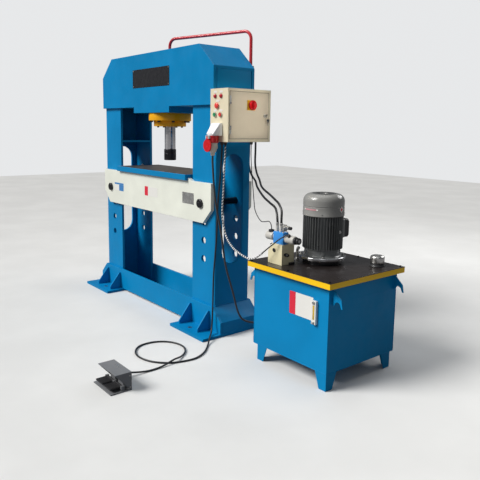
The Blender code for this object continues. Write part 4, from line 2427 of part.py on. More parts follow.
def control_cable():
    """Spiral-wrapped cable that sags from the box to the tank's corner and the right coil."""
    x = VALVE_X + VALVE_WIDTH + GAP + RIGHT_SOLENOID_LENGTH * 0.55
    reach = SOLENOID_RADIUS + SOLENOID_PLUG * 0.7
    y = VALVE_AXIS_Y + SOCKET_LEAN[1] * reach
    z = VALVE_AXIS_Z + SOCKET_LEAN[2] * reach
    x -= SOLENOID_PLUG_RADIUS + 0.0015
    over_lid = TANK_LID_TOP + CONTROL_CABLE_DIAMETER / 2 + GAP
    route = [
        box_gland_end(CONTROL_GLAND_PLACE),
        (0.929, 0.030, 1.330),
        (0.915, 0.029, 1.068),
        (0.930, 0.010, 0.893),
        (1.000, -0.012, 0.761),
        (1.120, -0.050, 0.704),
        (1.240, -0.078, 0.680),
        (1.343, -0.088, over_lid + 0.004),
        (1.400, -0.086, over_lid + 0.015),
        (1.456, -0.080, 0.716),
        (1.502, -0.066, 0.758),
        (1.541, -0.048, 0.795),
        (1.572, -0.030, 0.826),
        (x - 0.012, y - 0.001, z - 0.002),
        (x, y, z),
    ]
    tube("control_cable", WRAP_WHITE, smooth_route(route, 56), CONTROL_CABLE_DIAMETER / 2)


def solenoid_cable():
    """Thin cable from the left coil up behind the right column to the box."""
    x = VALVE_X - GAP - LEFT_SOLENOID_LENGTH * 0.55
    z = VALVE_AXIS_Z + SOLENOID_RADIUS + SOLENOID_PLUG + GAP
    end = box_gland_end(SOLENOID_GLAND_PLACE)
    route = [
        (x, VALVE_AXIS_Y, z),
        (x - 0.001, VALVE_AXIS_Y, z + 0.014),
        (x - 0.012, VALVE_AXIS_Y + 0.003, z + 0.034),
        (x - 0.040, VALVE_AXIS_Y + 0.012, z + 0.044),
        (1.350, 0.043, 0.899),
        (1.276, 0.070, 0.892),
        (1.149, 0.130, 0.938),
        (1.051, 0.200, 0.993),
        (0.950, 0.276, 1.060),
        (0.905, 0.300, 1.160),
        (end[0], end[1], 1.300),
        end,
    ]
    tube(
        "solenoid_cable", CABLE_BLACK, smooth_route(route, 44), SOLENOID_CABLE_DIAMETER / 2
    )


def hoses():
    """Two hoses from the valve's fittings to the feet of the oil pipes."""
    behind = COLUMN_DEPTH + GAP + BEAM_PLATE + PIPE_OVER_BEAM
    start_z = VALVE_TOP + FITTING_HEX + FITTING_NECK + GAP
    end_z = PIPE_FOOT - GAP
    pressure = [
        (FITTING_XS[0], FITTING_Y, start_z),
        (FITTING_XS[0], FITTING_Y, start_z + 0.025),
        (1.484, 0.024, 0.965),
        (1.435, 0.055, 0.998),
        (1.330, 0.100, 1.018),
        (1.194, 0.164, 1.040),
        (0.990, 0.280, 1.085),
        (0.885, 0.350, 1.119),
        (0.820, behind - 0.003, 1.158),
        (TOP_PIPE_X, behind, 1.225),
        (TOP_PIPE_X, behind, 1.330),
        (TOP_PIPE_X, behind, end_z),
    ]
    lower_behind = behind + PIPE_SPREAD
    back = [
        (FITTING_XS[1], FITTING_Y, start_z),
        (FITTING_XS[1], FITTING_Y, start_z + 0.045),
        (1.526, 0.024, 0.995),
        (1.478, 0.045, 1.030),
        (1.400, 0.085, 1.045),
        (1.277, 0.150, 1.062),
        (1.083, 0.245, 1.092),
        (0.930, 0.350, 1.134),
        (0.860, lower_behind - 0.010, 1.166),
        (LOWER_PIPE_X, lower_behind, 1.235),
        (LOWER_PIPE_X, lower_behind, 1.340),
        (LOWER_PIPE_X, lower_behind, end_z),
    ]
    tube("pressure_hose", CABLE_BLACK, smooth_route(pressure, 34), HOSE_DIAMETER / 2)
    tube("return_hose", CABLE_BLACK, smooth_route(back, 34), HOSE_DIAMETER / 2)


def to_plan_middle():
    """Hangs everything on an empty that carries the floor plan's middle to the origin."""
    middle = bpy.data.objects.new("floor_plan", None)
    bpy.context.scene.collection.objects.link(middle)
    middle.location = -PLAN_MIDDLE
    for group in (PARTS, CUTTERS):
        for thing in group.objects:
            thing.parent = middle
    bpy.context.view_layer.update()


def main():
    column("left_column", -1)
    column("right_column", 1)
    beam_plates()
    beam_cap()
    cylinder_seat()
    base_rails()
    foot("left_foot", -1)
    foot("right_foot", 1)
    table_plates()
    table_top()
    table_ribs()
    lifting_eye()
    table_pin("left_table_pin", -1)
    table_pin("right_table_pin", 1)
    cylinder_barrel()
    cylinder_gland()
    piston()
    ram_rod()
    ram_head()
    oil_pipes()
    box_shell()
    box_door()
    main_switch_knob()
    door_lock()
    front_devices()
    control_gear()
    socket_housing()
    socket_lid()
    power_plug()
    tank_body()
    tank_lid()
    level_gauge()
    filler_cap()
    motor_frame()
    fan_cover()
    motor_rotor()
    pump()
    manifold_block()
    valve_body()
    relief_valve()
    solenoid("left_solenoid", -1, LEFT_SOLENOID_LENGTH, SOLENOID_CAP_RADIUS * 0.7, 0.012)
    solenoid("right_solenoid", 1, RIGHT_SOLENOID_LENGTH, SOLENOID_CAP_RADIUS, SOLENOID_CAP)
    pedal_base()
    pedal_hood()
    tread("left_tread", -1)
    tread("right_tread", 1)
    plug_cable()
    pedal_cable()
    control_cable()
    solenoid_cable()
    hoses()
    to_plan_middle()


main()
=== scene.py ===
"""Looks of the hydraulic press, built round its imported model.

Sizes and places are written from the middle of the press: x = 0 halfway between the columns,
y = 0 at the columns' front face, z = 0 on the floor. ORIGIN carries them into the row's frame.
"""

import math

import bmesh
import bpy
from mathutils import Matrix, Vector


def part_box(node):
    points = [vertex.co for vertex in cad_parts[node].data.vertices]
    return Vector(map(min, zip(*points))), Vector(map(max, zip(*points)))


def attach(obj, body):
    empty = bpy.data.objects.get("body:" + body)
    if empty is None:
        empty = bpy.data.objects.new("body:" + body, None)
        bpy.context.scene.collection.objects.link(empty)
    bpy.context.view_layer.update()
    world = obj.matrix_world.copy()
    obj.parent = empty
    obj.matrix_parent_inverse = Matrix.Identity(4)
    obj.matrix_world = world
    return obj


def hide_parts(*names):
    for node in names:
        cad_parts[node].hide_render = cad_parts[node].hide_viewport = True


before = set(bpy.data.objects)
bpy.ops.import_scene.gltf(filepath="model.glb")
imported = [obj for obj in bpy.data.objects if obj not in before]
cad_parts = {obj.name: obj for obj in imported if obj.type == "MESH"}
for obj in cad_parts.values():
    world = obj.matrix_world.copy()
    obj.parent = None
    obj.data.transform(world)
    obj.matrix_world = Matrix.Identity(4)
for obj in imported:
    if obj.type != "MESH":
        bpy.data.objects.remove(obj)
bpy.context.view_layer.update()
LEFT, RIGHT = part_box("left_column"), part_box("right_column")
ORIGIN = Vector(((LEFT[0][0] + RIGHT[1][0]) / 2, LEFT[0][1], 0))


# Materials


class Nodes:
    """A short way to add and link shader nodes."""

    def __init__(self, name):
        self.material = bpy.data.materials.new(name)
        self.material.use_nodes = True
        self.tree = self.material.node_tree
        self.shader = self.tree.nodes["Principled BSDF"]
        coordinates = self.tree.nodes.new("ShaderNodeTexCoord")
        self.place = coordinates.outputs["Object"]

    def link(self, value, socket):
        if isinstance(value, bpy.types.NodeSocket):
            self.tree.links.new(value, socket)
        else:
            socket.default_value = value

    def add(self, kind, values):
        node = self.tree.nodes.new("ShaderNode" + kind)
        for socket, value in values.items():
            self.link(value, node.inputs[socket])
        return node

    def stretch(self, scale):
        return self.add("Mapping", {"Scale": scale, "Vector": self.place}).outputs["Vector"]

    def noise(self, scale, detail=3.0, roughness=0.55, vector=None, distortion=0.0):
        values = {"Scale": scale, "Detail": detail, "Roughness": roughness, "Distortion": distortion}
        return self.add("TexNoise", {**values, "Vector": vector or self.place}).outputs["Fac"]

    def ramp(self, value, low, high, start=0.0, end=1.0):
        values = {"From Min": low, "From Max": high, "To Min": start, "To Max": end, "Value": value}
        node = self.add("MapRange", values)
        node.interpolation_type = "SMOOTHSTEP"
        return node.outputs["Result"]

    def mix(self, factor, first, second):
        first, second = self.opaque(first), self.opaque(second)
        node = self.tree.nodes.new("ShaderNodeMix")
        node.data_type = "RGBA"
        for value, index in ((factor, 0), (first, 6), (second, 7)):
            self.link(value, node.inputs[index])
        return node.outputs[2]

    def opaque(self, colour):
        return colour if isinstance(colour, bpy.types.NodeSocket) else (*colour, 1.0)

    def bump(self, height, strength, distance=0.001, below=None):
        values = {"Strength": strength, "Distance": distance, "Height": height}
        if below is not None:
            values["Normal"] = below
        return self.add("Bump", values).outputs["Normal"]

    def finish(self, colour, roughness, normal=None, metallic=0.0, coat=0.0, gloss=0.5):
        values = {"Base Color": self.opaque(colour), "Roughness": roughness, "Metallic": metallic}
        values.update({"Coat Weight": coat, "Specular IOR Level": gloss})
        if coat:
            values["Coat Roughness"] = 0.12
        if normal is not None:
            values["Normal"] = normal
        for socket, value in values.items():
            self.link(value, self.shader.inputs[socket])
        if not isinstance(colour, bpy.types.NodeSocket):
            self.material.diffuse_color = (*colour, 1.0)
        return self.material


def shade(colour, factor):
    return tuple(min(1.0, c * factor) for c in colour)


def paint(name, colour, rough=0.32, grime=0.25, peel=0.12, coat=0.25, dust=0.12, gloss=0.4):
    """Brushed or sprayed enamel: slight clouds, settled dust, small scuffs and orange peel."""
    n = Nodes(name)
    clouds = n.ramp(n.noise(2.3, 4), 0.32, 0.7)
    base = n.mix(clouds, shade(colour, 0.93), shade(colour, 1.06))
    stains = n.ramp(n.noise(5.0, 8, 0.68, distortion=0.4), 0.6, 0.8, 0.0, grime)
    base = n.mix(stains, base, shade(colour, 0.55))
    specks = n.ramp(n.noise(75, 3, 0.6), 0.6, 0.8, 0.0, dust)
    grey = tuple(0.8 * c + 0.05 for c in colour)
    base = n.mix(specks, base, grey)
    scuffs = n.ramp(n.noise(3, 5, 0.7, n.stretch((9, 9, 1.2))), 0.62, 0.74, 0.0, 0.14)
    base = n.mix(scuffs, base, shade(colour, 1.28))
    roughness = n.ramp(n.noise(9, 5, 0.6), 0.3, 0.75, rough - 0.07, rough + 0.16)
    peeled = n.bump(n.noise(240, 2), peel, 0.0006)
    waved = n.bump(n.noise(14, 2), 0.1, 0.003, peeled)
    return n.finish(base, roughness, waved, 0.0, coat, gloss)


def steel(name, colour, rough=0.35, brush=(1, 1, 60), stain=0.3, strength=0.08):
    """Machined or rolled steel: fine brush lines, darker stains and a few rubbed patches."""
    n = Nodes(name)
    lines = n.noise(9, 4, 0.6, n.stretch(brush))
    base = n.mix(n.ramp(lines, 0.35, 0.65), shade(colour, 0.82), shade(colour, 1.12))
    spots = n.ramp(n.noise(7, 8, 0.7), 0.55, 0.75, 0.0, stain)
    base = n.mix(spots, base, shade(colour, 0.42))
    roughness = n.ramp(n.noise(13, 6, 0.65), 0.3, 0.75, rough - 0.08, rough + 0.2)
    return n.finish(base, roughness, n.bump(lines, strength, 0.0008), 1.0)


def plastic(name, colour, rough=0.4, grain=0.1, coat=0.0, dirt=0.12):
    """Moulded plastic or rubber: fine grain, faint handling marks."""
    n = Nodes(name)
    marks = n.ramp(n.noise(26, 6, 0.65), 0.55, 0.78, 0.0, dirt)
    base = n.mix(marks, colour, shade(colour, 0.6))
    roughness = n.ramp(n.noise(40, 4), 0.3, 0.7, rough - 0.05, rough + 0.12)
    return n.finish(base, roughness, n.bump(n.noise(900, 2), grain, 0.0003), 0.0, coat)


BLUE = paint("press_blue", (0.001, 0.225, 0.5), 0.4, 0.22, 0.1, 0.0, 0.03, 0.16)
WHITE = paint("table_white", (0.85, 0.87, 0.775), 0.36, 0.14, dust=0.04)
TOP_STEEL = steel("table_steel", (0.3, 0.265, 0.235), 0.42, (30, 1, 1), 0.5)
SATIN = paint("coil_silver", (0.56, 0.545, 0.505), 0.3, 0.1, 0.05, 0.2, 0.02)
BRIGHT = steel("bright_steel", (0.74, 0.73, 0.7), 0.24, (40, 40, 40), 0.15, 0.05)
ZINC = steel("zinc", (0.62, 0.62, 0.6), 0.32, (8, 8, 8), 0.25, 0.04)
CHROME = steel("chrome", (0.82, 0.82, 0.83), 0.14, (1, 1, 90), 0.05, 0.02)
DARK = steel("dark_steel", (0.055, 0.055, 0.06), 0.36, (1, 1, 70), 0.3, 0.08)
ORANGE = paint("cylinder_orange", (0.99, 0.46, 0.004), 0.34, 0.14, 0.1, 0.1, 0.03)
RED_PIPE = paint("pipe_red", (0.6, 0.025, 0.035), 0.3, 0.15)
# the box's cream darkened about a fifth for the door: painted shade on the door's side, which faces
# away from the key light
CREAM_SHADED = paint("box_beige", (0.63, 0.545, 0.405), 0.5, 0.1, 0.5, 0.0, 0.06)
CREAM = paint("box_cream", (0.8, 0.72, 0.52), 0.5, 0.08, 0.5, 0.0, 0.05)
# dark brown for the strips in the gap round the door: painted shadow of the gap
GAP_SHADE = plastic("gap_shade_brown", (0.16, 0.12, 0.08), 0.7)
RED = plastic("signal_red", (0.62, 0.008, 0.012), 0.22, 0.03, 0.4)
ESTOP = plastic("stop_red", (0.85, 0.06, 0.05), 0.3, 0.03, 0.3)
LAMP = plastic("lamp_red", (0.5, 0.01, 0.018), 0.25, 0.02, 0.3)
GREEN = plastic("signal_green", (0.03, 0.3, 0.13), 0.3, 0.03, 0.3)
YELLOW = plastic("plate_yellow", (0.9, 0.52, 0.01), 0.4, 0.05)
SOCKET = plastic("socket_white", (0.84, 0.85, 0.86), 0.34, 0.06, 0.1, 0.05)
PLUG = plastic("plug_cream", (0.83, 0.76, 0.66), 0.38, 0.06, 0.05, 0.08)
LABEL = plastic("label_white", (0.82, 0.81, 0.77), 0.4, 0.02)
LABEL_RED = plastic("label_red", (0.72, 0.02, 0.05), 0.4, 0.02)
LABEL_PINK = plastic("label_pink", (0.62, 0.3, 0.33), 0.4, 0.02)
LABEL_BLUE = plastic("label_blue", (0.05, 0.22, 0.52), 0.4, 0.02)
# near-black for black parts, also used as painted shade in the fan cover's grille, under the motor
# flange and at the manifold's foot
BLACK_AND_SHADE = plastic("plate_black", (0.014, 0.014, 0.017), 0.3, 0.02, 0.3)
RUBBER = plastic("cable_black", (0.022, 0.022, 0.024), 0.45, 0.1)
HOSE = plastic("hose_black", (0.016, 0.016, 0.017), 0.33, 0.25, 0.15)
WRAP = plastic("wrap_white", (0.72, 0.72, 0.72), 0.35, 0.05)
CABLE_GREY = plastic("cable_grey", (0.045, 0.045, 0.05), 0.4, 0.1)
MOTOR = paint("motor_grey", (0.165, 0.172, 0.172), 0.2, 0.2, 0.1, 0.6, 0.08)
COVER = paint("motor_cover", (0.27, 0.268, 0.255), 0.22, 0.12, 0.06, 0.35, 0.05)
TERMINAL = paint("terminal_black", (0.03, 0.03, 0.032), 0.4, 0.1, 0.3, 0.1, 0.05)
LID = paint("lid_black", (0.021, 0.016, 0.015), 0.32, 0.2, 0.2, 0.12, 0.35)
EDGE = paint("edge_yellow", (0.99, 0.58, 0.002), 0.38, 0.06, 0.1, 0.1, 0.02)
MANIFOLD = paint("manifold_cream", (0.82, 0.745, 0.49), 0.4, 0.12)
VALVE = paint("valve_blue", (0.045, 0.29, 0.76), 0.38, 0.08, gloss=0.25)
PEDAL = paint("pedal_grey", (0.19, 0.195, 0.205), 0.45, 0.2, 0.4, 0.0, 0.2)
TREAD = plastic("tread_black", (0.018, 0.018, 0.02), 0.5, 0.2)
GLASS = plastic("gauge_amber", (0.62, 0.42, 0.05), 0.12, 0.01, 0.6)

# directions, seen by the operator in front of the press
UPWARD, DOWNWARD = (0, 0, 1), (0, 0, -1)
FORWARD, BACKWARD = (0, -1, 0), (0, 1, 0)
RIGHTWARD, LEFTWARD = (1, 0, 0), (-1, 0, 0)

# places that several pieces share
AXIS_Y = 0.16  # the cylinder's axis
ON_LID = 0.6573  # just above the tank's lid
PIPE_X, PIPE_BACK = 0.785, 0.3703  # the top port's pipe behind the frame
LOWER_X, LOWER_BACK = 0.825, 0.3983  # the lower port's pipe
SOCKET_AT = (0.948, -0.0925)
PEDAL_GLAND, CONTROL_GLAND, SOLENOID_GLAND = (0.9703, -0.03), (0.9303, 0.03), (0.8853, 0.305)
GLAND_FOOT = 1.3917  # where the cables leave the box
MX, MY = 1.647, 0.279  # the motor's axis
VALVE_BASE, VALVE_Y = 0.7876, 0.0135
HOSE_X = (1.502, 1.538)  # the valve's two hose fittings
COIL_LEFT, COIL_RIGHT, COIL_END, COIL_PLUG = 1.4897, 1.5823, 1.6676, 1.62905
PEDAL_CORD = 0.0115  # diameter


# Shapes


def linked(name, data):
    made = bpy.data.objects.new(name, data)
    bpy.context.scene.collection.objects.link(made)
    return made


def mesh_of(name, shape):
    mesh = bpy.data.meshes.new(name)
    shape.to_mesh(mesh)
    shape.free()
    return mesh


def piece(name, shape, material, body="press", smooth=30, node=None):
    """Turns a bmesh in press coordinates into a piece; it takes the place of a node if one is named."""
    bmesh.ops.recalc_face_normals(shape, faces=shape.faces)
    mesh = mesh_of(name, shape)
    mesh.transform(Matrix.Translation(ORIGIN))
    made = linked(name, mesh)
    mesh.materials.append(material)
    if smooth:
        mesh.shade_smooth()
        mesh.set_sharp_from_angle(angle=math.radians(smooth))
    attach(made, body)
    if node:
        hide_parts(node)
    return made


def dress(node, material, width=0.0015, body="press", sides=None, smooth=30):
    """A CAD node's own shape with rounded edges; sides paints what doesn't face up."""
    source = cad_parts[node]
    shape = bmesh.new()
    shape.from_mesh(source.data)
    bmesh.ops.remove_doubles(shape, verts=shape.verts, dist=0.00002)
    flat = math.radians(0.5)
    bmesh.ops.dissolve_limit(shape, angle_limit=flat, verts=shape.verts, edges=shape.edges)
    mesh = mesh_of(node + "_look", shape)
    made = linked(node + "_look", mesh)
    mesh.materials.append(material)
    if sides is not None:
        mesh.materials.append(sides)
        for face in mesh.polygons:
            if face.normal.z < 0.9:
                face.material_index = 1
    mesh.shade_smooth()
    mesh.set_sharp_from_angle(angle=math.radians(smooth))
    modifier = made.modifiers.new("Bevel", "BEVEL")
    modifier.width = width
    modifier.segments = 2
    modifier.limit_method = "ANGLE"
    modifier.angle_limit = math.radians(30)
    modifier.harden_normals = True
    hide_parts(node)
    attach(made, body)


def repaint(node, material):
    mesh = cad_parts[node].data
    mesh.materials.clear()
    mesh.materials.append(material)


def block(shape, xs, ys, zs, bevel=0.0, segments=2):
    """Adds a block, with its edges rounded where bevel is given."""
    made = bmesh.ops.create_cube(shape, size=1.0)["verts"]
    size = [abs(p[1] - p[0]) for p in (xs, ys, zs)]
    bmesh.ops.scale(shape, vec=size, verts=made)
    bmesh.ops.translate(shape, vec=[sum(p) / 2 for p in (xs, ys, zs)], verts=made)
    if bevel:
        round_edges(shape, {e for v in made for e in v.link_edges}, bevel, segments)
    return shape


def round_edges(shape, edges, offset, segments=2):
    bmesh.ops.bevel(
        shape, geom=list(edges), offset=offset, segments=segments, profile=0.5, affect="EDGES"
    )


def skin(shape, rings):
    """Closes a row of equal rings into a solid with flat ends."""
    for first, second in zip(rings, rings[1:]):
        for k in range(len(first)):
            j = (k + 1) % len(first)
            shape.faces.new((first[k], first[j], second[j], second[k]))
    shape.faces.new(rings[0][::-1])
    shape.faces.new(rings[-1])
    return shape


def circle_points(middle, radius, count, turn=0.5):
    """Angle, x and y of each point spaced evenly round a middle."""
    for i in range(count):
        a = math.tau * (i + turn) / count
        yield a, middle[0] + radius * math.cos(a), middle[1] + radius * math.sin(a)


def running_lengths(points):
    lengths = [0.0]
    for before, after in zip(points, points[1:]):
        lengths.append(lengths[-1] + (after - before).length)
    return lengths


def axes(direction):
    forward = Vector(direction).normalized()
    return forward.to_track_quat("Z", "Y").to_matrix()


def lathe(shape, profile, at=(0, 0, 0), direction=UPWARD, steps=48, soft=0.0):
    """Adds a turned solid: (radius, height) pairs round the line through at, with soft corners."""
    if soft:
        profile = soft_corner(profile, soft)
    turn = axes(direction)
    rings = []
    for radius, height in profile:
        places = [(0, 0)]
        if radius > 0:
            places = [(x, y) for _, x, y in circle_points((0, 0), radius, steps, 0)]
        rings.append(
            [shape.verts.new(turn @ Vector((x, y, height)) + Vector(at)) for x, y in places]
        )
    closed = profile[0][0] > 0 and profile[-1][0] > 0
    pairs = list(zip(rings, rings[1:])) + ([(rings[-1], rings[0])] if closed else [])
    for first, second in pairs:
        for i in range(steps):
            j = (i + 1) % steps
            corners = [first[i % len(first)], first[j % len(first)]]
            corners += [second[j % len(second)], second[i % len(second)]]
            unique = list(dict.fromkeys(corners))
            if len(unique) > 2:
                shape.faces.new(unique)
    return shape


def turned(profile, at=(0, 0, 0), direction=UPWARD, steps=48, soft=0.0):
    return lathe(bmesh.new(), profile, at, direction, steps, soft)


def soft_corner(points, radius):
    """Rounds each corner of a (radius, height) profile with two extra points."""
    made = [points[0]]
    for before, corner, after in zip(points, points[1:], points[2:]):
        a, c, b = Vector(before), Vector(corner), Vector(after)
        room = min(radius, (a - c).length * 0.45, (b - c).length * 0.45)
        first = c + (a - c).normalized() * room
        last = c + (b - c).normalized() * room
        middle = (first + last) / 4 + c / 2
        made += [tuple(first), tuple(middle), tuple(last)]
    return made + [points[-1]]


PLANES = {
    "x": Matrix(((0, 0, 1), (1, 0, 0), (0, 1, 0))),
    "y": Matrix(((1, 0, 0), (0, 0, -1), (0, 1, 0))),
    "z": Matrix.Identity(3),
}
NORMALS = {"x": Vector((1, 0, 0)), "y": Vector((0, 1, 0)), "z": Vector((0, 0, 1))}


def prism(shape, across, ends, outline, bevel=0.0):
    """Adds a flat outline pulled along an axis."""
    turn, normal = PLANES[across], NORMALS[across]
    low = [shape.verts.new(turn @ Vector((u, v, 0)) + normal * min(ends)) for u, v in outline]
    high = [shape.verts.new(turn @ Vector((u, v, 0)) + normal * max(ends)) for u, v in outline]
    count = len(outline)
    faces = [shape.faces.new(low), shape.faces.new(high[::-1])]
    for i in range(count):
        j = (i + 1) % count
        faces.append(shape.faces.new((low[i], high[i], high[j], low[j])))
    if bevel:
        round_edges(shape, {e for f in faces for e in f.edges}, bevel)
    return shape


def bend(before, corner, after, radius, steps=10):
    """Points along the arc that rounds a corner."""
    before, corner, after = Vector(before), Vector(corner), Vector(after)
    inward = (before - corner).normalized()
    outward = (after - corner).normalized()
    half = inward.angle(outward) / 2
    start = corner + inward * radius / math.tan(half)
    end = corner + outward * radius / math.tan(half)
    middle = corner + (inward + outward).normalized() * radius / math.sin(half)
    first, last = start - middle, end - middle
    return [middle + first.slerp(last, i / steps).normalized() * radius for i in range(steps + 1)]


def pipe_route(corners, radius):
    points = [Vector(corners[0])]
    for before, corner, after in zip(corners, corners[1:], corners[2:]):
        points += bend(before, corner, after, radius)
    return points + [Vector(corners[-1])]


def rounded_corners(corners, radius, steps=3):
    points = []
    for before, corner, after in zip(corners[-1:] + corners, corners, corners[1:] + corners[:1]):
        points += [tuple(point) for point in bend(before, corner, after, radius, steps)]
    return points


def rectangle(xs, zs, radius, steps=3):
    corners = [(xs[0], zs[0]), (xs[1], zs[0]), (xs[1], zs[1]), (xs[0], zs[1])]
    return rounded_corners(corners, radius, steps)


def frames_along(points):
    """Side and up directions that turn smoothly along a path."""
    points = [Vector(p) for p in points]
    tangents = []
    for i in range(len(points)):
        low, high = max(i - 1, 0), min(i + 1, len(points) - 1)
        tangents.append((points[high] - points[low]).normalized())
    start = Vector((0, 0, 1)) if abs(tangents[0].z) < 0.9 else Vector((1, 0, 0))
    side = tangents[0].cross(start).normalized()
    made = []
    for tangent in tangents:
        side = (side - tangent * side.dot(tangent)).normalized()
        made.append((side, tangent.cross(side)))
    return made


def tube(shape, points, radius, sides=12, radii=None):
    """Adds a round tube along a path."""
    rings = []
    for i, (point, (side, up)) in enumerate(zip(points, frames_along(points))):
        r = radii[i] if radii else radius
        ring = []
        for k in range(sides):
            angle = math.tau * k / sides
            ring.append(
                shape.verts.new(
                    Vector(point) + side * r * math.cos(angle) + up * r * math.sin(angle)
                )
            )
        rings.append(ring)
    return skin(shape, rings)


def hexagon(shape, at, direction, radius, height, washer=0.0):
    """Adds a bolt head or nut with a chamfered crown, on a washer where one is asked for."""
    base = Vector(at)
    forward = Vector(direction).normalized()
    if washer:
        thick = 0.0012
        lathe(shape, [(0, thick), (washer, thick), (washer, 0), (0, 0)], base, forward, 20)
        base = base + forward * thick
    profile = [(0, height), (radius * 0.84, height), (radius, height * 0.82), (radius, 0), (0, 0)]
    lathe(shape, profile, base, forward, 6)


STUB = 0.008  # straight length where a cord leaves its fitting
SPAN_STEPS = 20


def smooth_route(route, count):
    """Evenly spaced points along a smooth curve through the route, with a straight stub per end."""
    route = [Vector(point) for point in route]
    first, last = route[0].copy(), route[-1].copy()
    route[0] = first + (route[1] - first).normalized() * STUB
    route[-1] = last + (route[-2] - last).normalized() * STUB
    places = running_lengths(route)
    tangents = []
    for i in range(len(route)):
        low, high = max(i - 1, 0), min(i + 1, len(route) - 1)
        tangents.append((route[high] - route[low]) / (places[high] - places[low]))
    fine = []
    for i in range(len(route) - 1):
        span = places[i + 1] - places[i]
        for step in range(SPAN_STEPS):
            t = step / SPAN_STEPS
            fine.append(
                route[i] * (2 * t**3 - 3 * t**2 + 1)
                + tangents[i] * span * (t**3 - 2 * t**2 + t)
                + route[i + 1] * (3 * t**2 - 2 * t**3)
                + tangents[i + 1] * span * (t**3 - t**2)
            )
    fine.append(route[-1])
    lengths = running_lengths(fine)
    points = []
    index = 0
    for i in range(count):
        index, share = segment_at(lengths, lengths[-1] * i / (count - 1), index)
        points.append(fine[index].lerp(fine[index + 1], share))
    return [first] + points + [last]


def segment_at(lengths, wanted, index=0):
    """The segment of a line, from index on, that holds a length, and the share of it passed there."""
    while index < len(lengths) - 2 and lengths[index + 1] < wanted:
        index += 1
    return index, (wanted - lengths[index]) / (lengths[index + 1] - lengths[index])


# Camera, light and floor


# what the photo gave: sizes in pixels, angles in radians, the camera's place in metres
PHOTO, FOCAL, HORIZON = 480, 570.3143, 213.5
YAW, PITCH, ROLL = 0.888, -0.148, 0.0151
EYE = (4.1176, -2.421, 1.5026)


def camera():
    data = bpy.data.cameras.new("camera")
    data.sensor_width = 36
    data.lens = FOCAL / PHOTO * data.sensor_width
    data.shift_y = (HORIZON - PHOTO / 2) / PHOTO
    made = linked("camera", data)
    forward = Vector(
        (-math.sin(YAW) * math.cos(PITCH), math.cos(YAW) * math.cos(PITCH), math.sin(PITCH))
    )
    right = forward.cross(Vector((0, 0, 1))).normalized()
    up = right.cross(forward)
    across = right * math.cos(ROLL) + up * math.sin(ROLL)
    upward = up * math.cos(ROLL) - right * math.sin(ROLL)
    turn = Matrix((across, upward, -forward)).transposed()
    made.matrix_world = Matrix.Translation(Vector(EYE) + ORIGIN) @ turn.to_4x4()
    bpy.context.scene.camera = made


def lamp(name, place, target, size, power, colour=(1, 1, 1), spread=None):
    """A soft rectangular lamp; one with a spread lights its target alone and is never seen."""
    data = bpy.data.lights.new(name, "AREA")
    data.shape = "RECTANGLE"
    data.size, data.size_y = size
    data.energy = power
    data.color = colour
    made = linked(name, data)
    place, target = Vector(place) + ORIGIN, Vector(target) + ORIGIN
    made.location = place
    made.rotation_mode = "QUATERNION"
    made.rotation_quaternion = (place - target).to_track_quat("Z", "Y")
    if spread:
        data.spread = math.radians(spread)
        made.visible_camera = made.visible_glossy = False


def stage():
    shape = bmesh.new()
    bmesh.ops.create_grid(shape, x_segments=2, y_segments=2, size=14)
    mesh = mesh_of("floor", shape)
    floor = bpy.data.objects.new("floor", mesh)
    floor.location = (0, 0, -0.0005)
    bpy.context.scene.collection.objects.link(floor)
    n = Nodes("floor_pale")
    tone = n.ramp(n.noise(1.2, 4), 0.35, 0.7)
    colour = n.mix(tone, (0.74, 0.74, 0.73), (0.79, 0.79, 0.78))
    path = n.tree.nodes.new("ShaderNodeLightPath")
    colour = n.mix(path.outputs["Is Camera Ray"], (0.24, 0.24, 0.25), colour)
    mesh.materials.append(n.finish(colour, 0.75))
    world = bpy.data.worlds.new("world")
    bpy.context.scene.world = world
    world.use_nodes = True
    tree = world.node_tree
    background = tree.nodes["Background"]
    seen = tree.nodes.new("ShaderNodeBackground")
    for node, colour, strength in (
        (background, (0.86, 0.9, 0.95, 1), 0.15),
        (seen, (0.8, 0.81, 0.82, 1), 1.0),
    ):
        node.inputs["Color"].default_value = colour
        node.inputs["Strength"].default_value = strength
    path = tree.nodes.new("ShaderNodeLightPath")
    mix = tree.nodes.new("ShaderNodeMixShader")
    tree.links.new(path.outputs["Is Camera Ray"], mix.inputs["Fac"])
    tree.links.new(background.outputs["Background"], mix.inputs[1])
    tree.links.new(seen.outputs["Background"], mix.inputs[2])
    tree.links.new(mix.outputs["Shader"], tree.nodes["World Output"].inputs["Surface"])
    sun = bpy.data.lights.new("key_sun", "SUN")
    sun.energy = 3.6
    sun.angle = math.radians(28)
    sun.color = (1.0, 0.985, 0.96)
    made = linked("key_sun", sun)
    made.rotation_mode = "QUATERNION"
    made.rotation_quaternion = Vector((-0.5, -1.0, 0.95)).to_track_quat("Z", "Y")
    lamp("fill", (5.6, -3.6, 3.0), (0.8, 0.2, 0.8), (2.6, 2.2), 9, (0.92, 0.96, 1.0))
    lamp("sky", (0.6, 0.6, 5.6), (0.6, 0.1, 0.0), (4.5, 3.5), 60, (0.97, 0.99, 1.0))
    lamp("rim", (1.5, 4.6, 3.6), (0.6, 0.2, 1.0), (3.0, 1.6), 60)
    lamp("door_light", (2.1, 0.14, 1.6), (1.06, 0.14, 1.6), (0.34, 0.34), 0.24, (1.0, 0.97, 0.92), 9)
    bpy.context.scene.view_settings.view_transform = "Standard"


# Frame of the press


def weld(name, points, radius):
    """A rippled bead along a joint."""
    fine = []
    for a, b in zip(points, points[1:]):
        a, b = Vector(a), Vector(b)
        steps = max(2, int((b - a).length / 0.006))
        fine += [a.lerp(b, i / steps) for i in range(steps)]
    fine.append(Vector(points[-1]))
    ripples = [1.0 + 0.16 * math.sin(i * 2.4) + 0.07 * math.sin(i * 5.3) for i in range(len(fine))]
    piece(name, tube(bmesh.new(), fine, radius, 6, [radius * r for r in ripples]), BLUE, smooth=60)


